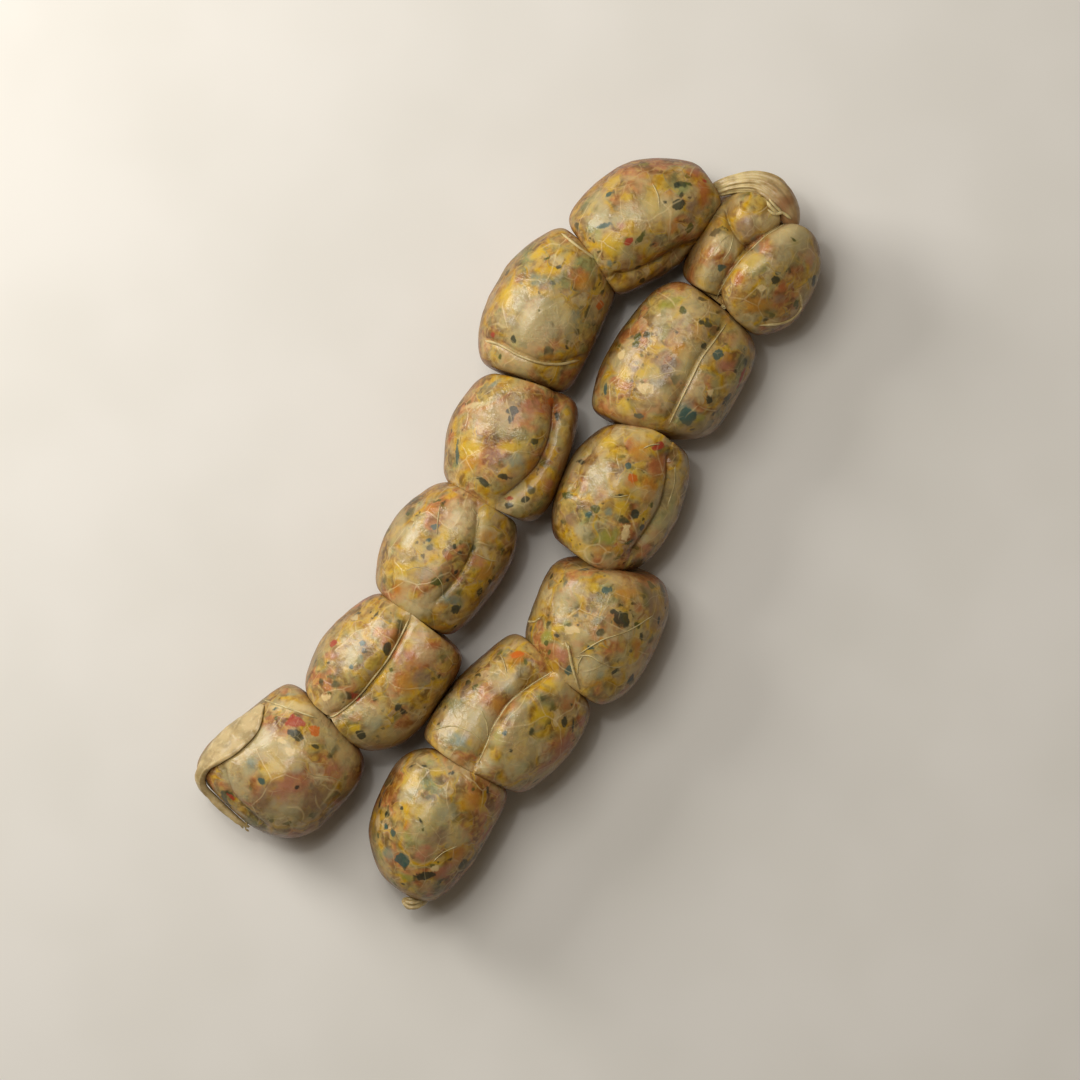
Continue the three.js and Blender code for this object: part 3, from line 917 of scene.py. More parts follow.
@dataclass
class Link:
    """One filled link: its size and place, and what shows on it."""

    number: int
    ends: tuple[str, str]
    mid: tuple[float, float]
    turn: float
    length: float
    width: float
    blunt: tuple[float, float]
    taper: float
    bow: float
    creases: tuple[Crease, ...] = ()
    marks: tuple[Mark, ...] = ()
    lines: tuple[Line, ...] = ()
    skin: bpy.types.Object = field(default=None, repr=False)

    @property
    def name(self) -> str:
        """Name of the link's solid."""
        return f"link_{self.number:02d}"

    @property
    def middle(self) -> np.ndarray:
        """Middle of the body."""
        return np.array([*self.mid, LINK_HEIGHT / 2 - REST_FLAT])

    def partings(self) -> list[tuple[tuple[np.ndarray, np.ndarray, float], int]]:
        """Returns the partings that the link respects, each with 1 or -1 for its side."""
        found = [(PINCHES[name].divider(), side) for name, side in zip(self.ends, (-1, 1))
                 if PINCHES[name].lean is not None]
        for pair, contact in SIDE_CONTACTS:
            if self.number in pair:
                found.append((contact.divider(), 1 if pair[0] == self.number else -1))
        return found

    def swell(self, direction: np.ndarray, polar: np.ndarray) -> np.ndarray:
        """How far the skin stands out from the plain body.

        Args:
            direction: direction of each point from the middle of the body.
            polar: angle from the first pinch.

        Returns:
            The swell in millimetres.
        """
        x, y, z = direction.T
        number = self.number
        broad = np.sin(5 * x + 1.7 * number) * np.sin(4 * y + 2.3 * number)
        small = np.sin(7 * y + 3.1 * number) * np.sin(6 * z + 0.9 * number)
        total = LUMP * (broad + 0.6 * small) * np.sin(polar)
        place = direction * np.array([self.length, self.width, LINK_HEIGHT]) / 2
        for step, (cell, height) in enumerate(GRAIN):
            total += height * drift(place, cell, 10 * number + step) * np.sin(polar)
        near = np.minimum(polar, math.pi - polar)
        wander = 1.2 * drift(place * 0.5, 4.0, 10 * number + 5)
        pleat = np.cos(PLEAT_COUNT * np.arctan2(y, z) + 2.2 * wander)
        return total + PLEAT_HEIGHT * pleat * bell(near, PLEAT_REACH) * (0.6 + 0.6 * wander)

    def place(self, polar: np.ndarray, around: np.ndarray) -> np.ndarray:
        """Places points of the skin.

        Args:
            polar: angle from the first pinch, 0 to pi.
            around: angle round the axis, from the top.

        Returns:
            Places in millimetres.
        """
        direction = np.stack([-np.cos(polar), -np.sin(polar) * np.sin(around),
                              np.sin(polar) * np.cos(around)], axis=1)
        first = polar < math.pi / 2
        blunt = np.where(first, *self.blunt)
        full = (np.abs(direction[:, 0]) ** blunt + np.sin(polar) ** blunt) ** (-1 / blunt)
        along = direction[:, 0] * full
        crown = (1 - np.minimum(np.abs(along), 1) ** TOP_ROUND) ** (1 / TOP_ROUND)
        thick = 1 + self.taper * along
        y = direction[:, 1] * full * thick * self.width / 2
        z = np.cos(around) * crown * thick * LINK_HEIGHT / 2
        radius = np.hypot(y, z)
        grow = 1 + self.swell(direction, polar) / np.maximum(radius, 1.0)
        y = y * grow + self.bow * (1 - along * along)
        z = z * grow
        ahead = heading(self.turn)
        left = np.array([-ahead[1], ahead[0], 0])
        points = self.middle + np.outer(along * (self.length / 2 + PRESS), ahead)
        points += np.outer(y, left)
        points[:, 2] += z
        for name, outward, half in ((self.ends[0], -1, first), (self.ends[1], 1, ~first)):
            pinch = PINCHES[name]
            plain_end = self.middle + ahead * outward * self.length / 2
            tip = np.array(pinch.at, float) - outward * PINCH_RETREAT * heading(pinch.turn)
            inward = ahead * np.dot(tip - plain_end, ahead)
            aside = tip - plain_end - inward
            near = polar if outward < 0 else math.pi - polar
            points += np.outer(np.exp(-(near / PINCH_REACH) ** 3) * half, inward)
            points += np.outer(bell(near, SHIFT_REACH) * half, aside)
        return self.settle(points, direction[:, 2])

    def settle(self, points: np.ndarray, upward: np.ndarray) -> np.ndarray:
        """Tucks the skin, presses it against its neighbours and lets it rest on the surface.

        Args:
            points: places of the skin.
            upward: how far up each point's direction looks, -1 to 1.

        Returns:
            The settled places.
        """
        on_top = np.clip(upward / CREASE_FADE, 0, 1)
        for crease in self.creases:
            down = self.middle - points
            down /= np.linalg.norm(down, axis=1, keepdims=True)
            points = points + (on_top * crease.pull(points[:, :2])[0])[:, None] * down
        for parting, side in self.partings():
            depth = side * beyond(points, *parting)
            allowed = smooth_min(depth, -CONTACT_GAP / 2, SHOULDER)
            points = points + np.outer(side * (allowed - depth), parting[1])
        points[:, 2] = -smooth_min(-points[:, 2], 0, FLOOR_SHOULDER)
        return points

    def closeness(self, polar: np.ndarray, points: np.ndarray) -> np.ndarray:
        """How close each point is to a strand, a pinch or a neighbour.

        Args:
            polar: angle from the first pinch.
            points: places of the skin.

        Returns:
            A value from 0 to 1 for each point.
        """
        near = bell(np.minimum(polar, math.pi - polar), PINCH_TINT_REACH)
        for crease in self.creases:
            if crease.strand:
                gap = crease.pull(points[:, :2])[1]
                above = points[:, 2] > STRAND_TINT_FLOOR
                near = np.maximum(near, STRAND_TINT * np.exp(-gap / STRAND_TINT_REACH) * above)
        for parting, side in self.partings():
            depth = side * beyond(points, *parting)
            near = np.maximum(near, PARTING_TINT * bell(depth, PARTING_TINT_REACH))
        return near

    def paint(self, points: np.ndarray, normals: np.ndarray) -> tuple[np.ndarray, np.ndarray]:
        """Lays the link's marks on its skin.

        Args:
            points: places of the skin.
            normals: normals of the skin.

        Returns:
            Colours with alpha of the soft patches, and of the crisp bits.
        """
        soft = np.zeros((len(points), 4))
        crisp = np.zeros((len(points), 4))
        top = normals[:, 2] > 0.05
        for index, mark in enumerate(self.marks):
            spot = np.array([mark.x, mark.y])
            gaps = np.where(top, np.linalg.norm(points[:, :2] - spot, axis=1), np.inf)
            nearest = int(np.argmin(gaps))
            centre, normal = points[nearest], normals[nearest]
            long_axis = heading(mark.turn)
            long_axis = long_axis - normal * np.dot(long_axis, normal)
            long_axis /= np.linalg.norm(long_axis)
            wide_axis = np.cross(normal, long_axis)
            away = points - centre
            a = away @ long_axis / (mark.length / 2)
            b = away @ wide_axis / (mark.width / 2)
            small = min(mark.length, mark.width)
            seed = 1000 * self.number + 2 * index
            rough = 0.3 * drift(points, max(0.9, 0.5 * small), seed)
            rough += 0.22 * drift(points, max(0.7, 0.25 * small), seed + 1)
            size = np.sqrt(a * a + b * b) * (1 + rough)
            height = away @ normal
            size = np.where(np.abs(height) > MARK_REACH, OUTSIDE, size)
            tint = np.array(mark.kind.colour[:3])
            if mark.kind.crisp:
                cover = np.clip(0.5 + (1 - size) * small / 2 / CRISP_EDGE, 0, 1)
                chosen = cover > crisp[:, 3]
                crisp[chosen, :3] = tint
                crisp[chosen, 3] = cover[chosen]
            else:
                cover = SOFT_COVER * ease(size, *SOFT_EDGE)
                old = soft[:, 3] * (1 - cover)
                total = np.maximum(old + cover, 1e-6)
                soft[:, :3] = (soft[:, :3] * old[:, None] + tint * cover[:, None]) / total[:, None]
                soft[:, 3] = old + cover
        return soft, crisp

    def build(self, finish: bpy.types.Material, strand: bpy.types.Material) -> None:
        """Makes the link's skin and the strands on it.

        Args:
            finish: material of the filled casing.
            strand: material of the strands.
        """
        skin = ball_mesh(f"{self.name}_skin", SKIN_SEGMENTS, SKIN_RINGS, self.place)
        polar = ball_angles(plain_ball(SKIN_SEGMENTS, SKIN_RINGS))[0]
        points = read_points(skin)
        normals = read_normals(skin)
        write_mask(skin, "crease", self.closeness(polar, points))
        soft, crisp = self.paint(points, normals)
        write_colours(skin, "soft_patch_and_sheen", soft)
        write_colours(skin, "fleck", crisp)
        self.skin = skin
        dress(skin, finish)
        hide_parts(self.name)
        self.build_strands(strand)

    def build_strands(self, material: bpy.types.Material) -> None:
        """Makes the strands in the creases and those that cross the link.

        Args:
            material: material of the strands.
        """
        tree = ray_tree(self.skin)
        lines = [Line(crease.path, crease.strand, 0.1) for crease in self.creases if crease.strand]
        lines.extend(self.lines)
        for index, line in enumerate(lines):
            flat_path = smooth_path([(x, y, PROBE) for x, y in line.path], 12 * len(line.path))
            path = drape(tree, flat_path)
            if len(path) < 4:
                LOG.warning("%s: strand %d misses the skin", self.name, index)
                continue
            path[:, 2] += line.radius * (1 - 2 * line.sunk)
            wobble = 1 + 0.3 * drift(path, 2.2, 55 + index)
            piece = sweep(f"{self.name}_strand_{index + 1}", path,
                          line.radius * wobble * ease(steps_to_end(path), -1, 5))
            dress(piece, material)
        LOG.info("%s: skin, %d strands, %d marks", self.name, len(lines), len(self.marks))


def ray_tree(skin: bpy.types.Object) -> BVHTree:
    """Returns a skin's faces as a tree that rays can hit, in metres."""
    return BVHTree.FromPolygons([v.co for v in skin.data.vertices],
                                [p.vertices for p in skin.data.polygons])


def steps_to_end(path: np.ndarray) -> np.ndarray:
    """Returns how many steps each place of a path is from the nearer end."""
    steps = np.arange(len(path))
    return np.minimum(steps, steps[::-1])


def drape(tree: BVHTree, path: np.ndarray) -> np.ndarray:
    """Drops a path onto a skin from above.

    Args:
        tree: the skin, in metres.
        path: places in millimetres.

    Returns:
        The places that land on the skin, in millimetres.
    """
    landed = []
    for place in path:
        hit = tree.ray_cast(Vector(place) * MM, Vector((0, 0, -1)))[0]
        if hit is not None:
            landed.append(np.array(hit) / MM)
    return np.array(landed)


def dress(piece: bpy.types.Object, material: bpy.types.Material) -> None:
    """Gives a piece its finish and lets it ride on the string.

    Args:
        piece: the piece.
        material: its material.
    """
    piece.data.materials.append(material)
    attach(piece, "root")


# ---------------------------------------------------------------- empty casing

@dataclass
class Gather:
    """A short twist of casing in the pinch between two links."""

    first: int
    radius: float = 1.0
    reach: float = 2.2             # half its length
    folds: int = 7
    turns: float = 0.45
    segments: int = 84
    rings: int = 30

    @property
    def name(self) -> str:
        """Name of the twist's solid."""
        return f"twist_{self.first}_{self.first + 1}"

    def place(self, polar: np.ndarray, around: np.ndarray) -> np.ndarray:
        """Places points of the twist, in millimetres."""
        pinch = PINCHES[f"p{self.first}"]
        ahead = heading(pinch.turn)
        left = np.array([-ahead[1], ahead[0], 0])
        run = polar / math.pi
        angle = around + 2 * math.pi * self.turns * run
        ridge = 1 + 0.16 * np.cos(self.folds * around) + 0.05 * np.cos(3 * around + 1)
        flare = 0.7 + 1.1 * (2 * run - 1) ** 2
        radius = self.radius * ridge * flare * np.sin(polar) ** 0.3
        return (np.array(pinch.at) + np.outer(self.reach * (2 * run - 1), ahead)
                + np.outer(radius * np.cos(angle), left)
                + np.outer(radius * np.sin(angle), [0, 0, 1]))

    def build(self, material: bpy.types.Material) -> None:
        """Makes the twist and lets it stand for its solid."""
        piece = ball_mesh(f"{self.name}_gather", self.segments, self.rings, self.place)
        dress(piece, material)
        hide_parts(self.name)


@dataclass
class CasingTube:
    """A tube or band of empty casing along its stops, with folds along it."""

    name: str
    centres: tuple[tuple[float, float, float], ...]
    halves: tuple[tuple[float, float], ...]      # half its width and half its height
    folds: int
    fold_height: float
    wander: float = 0.6
    plain_after: float = 2.0       # where along it the folds die away
    lies_on: tuple[float, float, float] | None = None
    segments: int = 120
    rings: int = 150

    def frames(self, run: np.ndarray) -> tuple[np.ndarray, ...]:
        """Middle, sideways and outward directions and half sizes along the tube.

        Args:
            run: place along the tube, 0 to 1.

        Returns:
            Middle, across, outward, and the half width and half height.
        """
        fine = smooth_path(self.centres, TUBE_STEPS)
        steps = np.linspace(0, 1, TUBE_STEPS)
        middle = np.stack([np.interp(run, steps, fine[:, i]) for i in range(3)], axis=1)
        slope = np.gradient(fine, axis=0)
        along = np.stack([np.interp(run, steps, slope[:, i]) for i in range(3)], axis=1)
        along /= np.linalg.norm(along, axis=1, keepdims=True)
        facing = middle - np.array(self.lies_on) if self.lies_on else np.array([[0.0, 0, 1]])
        across = np.cross(facing, along)
        across /= np.linalg.norm(across, axis=1, keepdims=True)
        outward = np.cross(along, across)
        sizes = smooth_path(self.halves, TUBE_STEPS)
        half = np.stack([np.interp(run, steps, sizes[:, i]) for i in range(2)], axis=1)
        return middle, across, outward, half

    def place(self, polar: np.ndarray, around: np.ndarray) -> np.ndarray:
        """Places points of the tube, in millimetres."""
        run = polar / math.pi
        middle, across, outward, half = self.frames(run)
        probe = np.stack([3 * np.cos(around), 3 * np.sin(around), 14 * run], axis=1)
        stray = self.wander * drift(probe, 2.0, len(self.name))
        fold = self.fold_height * np.cos(self.folds * around + 3 * stray)
        fold += 0.4 * self.fold_height * np.cos((2 * self.folds + 1) * around - 4 * stray)
        fold *= 1 - 0.8 * ease(run, self.plain_after, self.plain_after + 0.25)
        full = np.sin(polar) ** 0.2 * (1 + fold + 0.06 * stray)
        return (middle + across * (half[:, 0] * full * np.cos(around))[:, None]
                + outward * (half[:, 1] * full * np.sin(around))[:, None])

    def build(self, material: bpy.types.Material, blush: tuple[float, float] | None = None) -> None:
        """Makes the tube and lets it stand for its solid.

        Args:
            material: the casing's material.
            blush: where along the tube filling shows through it, 0 to 1, and how far, if it does.
        """
        piece = ball_mesh(f"{self.name}_casing", self.segments, self.rings, self.place)
        if blush:
            points = read_points(piece)
            centre = smooth_path(self.centres, 101)[int(100 * blush[0])]
            gap = np.linalg.norm(points - centre, axis=1)
            patch = np.clip(0.85 + 0.5 * drift(points, 3.0, 5), 0, 1)
            write_mask(piece, "crease", patch * bell(gap, blush[1]))
        else:
            write_mask(piece, "crease", np.zeros(len(piece.data.vertices)))
        dress(piece, material)
        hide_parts(self.name)
        LOG.info("%s: casing with %d folds", self.name, self.folds)


@dataclass
class FoldedEnd(CasingTube):
    """The open end of the casing, folded back over the start of link 1 as a thin flap.

    The flap lies on the link's skin. Its inner edge is rolled, small bits of fat stand out
    under it, and beyond the loose end it narrows to a thick rim.
    """

    clearance: float = 0.3         # how far its underside stays off the skin
    bumps: tuple[tuple[float, float, float], ...] = ()       # place in plan and size of each
    rise: float = 0.45             # height of the rolled edge and of the bumps

    def lay_on(self, skin: bpy.types.Object) -> Callable[[np.ndarray, np.ndarray], np.ndarray]:
        """Gives the flap's shape on a skin.

        Args:
            skin: the skin that it lies on.

        Returns:
            The shape, for ball_mesh.
        """
        tree = ray_tree(skin)
        centre = np.array(self.lies_on)

        def shape(polar: np.ndarray, around: np.ndarray) -> np.ndarray:
            """Places points of the flap, in millimetres."""
            upper = np.sin(around) > 0
            run = polar / math.pi
            middle, across, outward, half = self.frames(run)
            full = np.sin(polar) ** 0.2
            side = half[:, 0] * full * np.cos(around)
            lift = half[:, 1] * full * np.sin(around)
            plain = middle + across * side[:, None] + outward * lift[:, None]
            ray = plain - centre
            ray /= np.linalg.norm(ray, axis=1, keepdims=True)
            rim = self.rise * bell(np.cos(around) - 0.86, 0.16) * upper
            crinkle = 0.14 * drift(plain, 1.6, 3) + 0.22 * drift(plain, 4.0, 4)
            height = self.clearance + half[:, 1] * full * (1 + np.sin(around))
            height += np.where(upper, (rim + crinkle) * full, 0)
            for x, y, size in self.bumps:
                gap = np.hypot(plain[:, 0] - x, plain[:, 1] - y)
                height += np.where(upper, self.rise * bell(gap, size), 0)
            placed = plain.copy()
            for i, direction in enumerate(ray):
                start = Vector((centre + direction * PROBE) * MM)
                hit = tree.ray_cast(start, Vector(-direction))[0]
                if hit is not None:
                    ground = np.array(hit) / MM
                    placed[i] = ground + direction * height[i]
            return placed

        return shape

    def build_on(self, skin: bpy.types.Object, material: bpy.types.Material) -> None:
        """Makes the flap on a skin and lets it stand for its solid.

        Args:
            skin: the skin that it lies on.
            material: the casing's material.
        """
        piece = ball_mesh(f"{self.name}_flap", self.segments, self.rings, self.lay_on(skin))
        write_mask(piece, "crease", np.zeros(len(piece.data.vertices)))
        dress(piece, material)
        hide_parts(self.name)
        LOG.info("%s: flap with %d bumps", self.name, len(self.bumps))


@dataclass
class LooseThreads:
    """Frayed threads and strings of casing that hang free or cross a fold."""

    name: str
    threads: tuple[tuple[tuple[float, float, float], ...], ...]
    radius: float

    def build(self, material: bpy.types.Material) -> None:
        """Makes each thread."""
        for index, stops in enumerate(self.threads):
            path = smooth_path(stops, 8 * len(stops))
            wobble = 1 + 0.35 * drift(path, 1.5, 31 + index)
            piece = sweep(f"{self.name}_{index + 1}", path,
                          self.radius * wobble * ease(steps_to_end(path), -2, 4))
            dress(piece, material)
        LOG.info("%s: %d threads", self.name, len(self.threads))


# ---------------------------------------------------------------- the studio

@dataclass
class Studio:
    """Pale board, soft light from the upper left and a camera straight above."""

    view: tuple[float, float] = (9.9, -2.2)      # middle of the frame in plan, millimetres
    frame_width: float = 345.6
    camera_height: float = 1400.0
    focus_height: float = 18.0                   # the frame is this wide at this height
    board_reach: float = 2.0                     # metres
    board_drop: float = 0.2                      # how far it lies below the string
    room_colour: tuple[float, float, float, float] = (1.0, 0.84, 0.64, 1.0)
    room_light: float = 0.11

    def build(self) -> None:
        """Makes the board, the lights and the camera."""
        board = bmesh.new()
        bmesh.ops.create_grid(board, x_segments=2, y_segments=2, size=self.board_reach,
                              matrix=Matrix.Translation((0, 0, -self.board_drop * MM)))
        mesh = bpy.data.meshes.new("board")
        board.to_mesh(mesh)
        board.free()
        floor = show("board", mesh)
        floor.data.materials.append(PaleBoard().make())
        self.light("window", azimuth=147, elevation=27, distance=0.8, size=(0.26, 0.36),
                   power=4.1, colour=(1.0, 0.97, 0.92))
        self.light("ceiling", azimuth=130, elevation=66, distance=1.2, size=(0.7, 0.7),
                   power=7.0, colour=(1.0, 0.97, 0.92))
        self.light("lamp", azimuth=130, elevation=76, distance=1.0, size=(0.06, 0.06),
                   power=0.7, colour=(1.0, 0.98, 0.95))
        world = bpy.data.worlds.new("room")
        world.use_nodes = True
        background = world.node_tree.nodes["Background"]
        background.inputs["Color"].default_value = self.room_colour
        background.inputs["Strength"].default_value = self.room_light
        bpy.context.scene.world = world
        bpy.context.scene.view_settings.view_transform = "Standard"
        self.camera()

    def light(self, name: str, azimuth: float, elevation: float, distance: float,
              size: tuple[float, float], power: float, colour: tuple[float, float, float]) -> None:
        """Adds a soft light that looks at the middle of the string.

        Args:
            name: the light's name.
            azimuth: its heading from the string, degrees from +X toward +Y.
            elevation: its height above the surface, degrees.
            distance: how far off it stands, metres.
            size: its width and height, metres.
            power: in watts.
            colour: linear colour.
        """
        lamp = bpy.data.lights.new(name, "AREA")
        lamp.shape = "RECTANGLE"
        lamp.size, lamp.size_y = size
        lamp.energy = power
        lamp.color = colour
        stand = bpy.data.objects.new(name, lamp)
        bpy.context.scene.collection.objects.link(stand)
        out = heading(azimuth) * math.cos(math.radians(elevation))
        out[2] = math.sin(math.radians(elevation))
        stand.location = Vector(out) * distance
        stand.rotation_euler = Vector(out).to_track_quat("Z", "Y").to_euler()

    def camera(self) -> None:
        """Adds the camera, straight above, with +Y up in the picture."""
        lens = bpy.data.cameras.new("camera")
        lens.sensor_width = 36.0
        reach = self.camera_height - self.focus_height
        lens.lens = lens.sensor_width * reach / self.frame_width
        lens.clip_end = 10.0
        camera = bpy.data.objects.new("camera", lens)
        camera.location = Vector((*self.view, self.camera_height)) * MM
        bpy.context.scene.collection.objects.link(camera)
        bpy.context.scene.camera = camera


# ---------------------------------------------------------------- the pieces

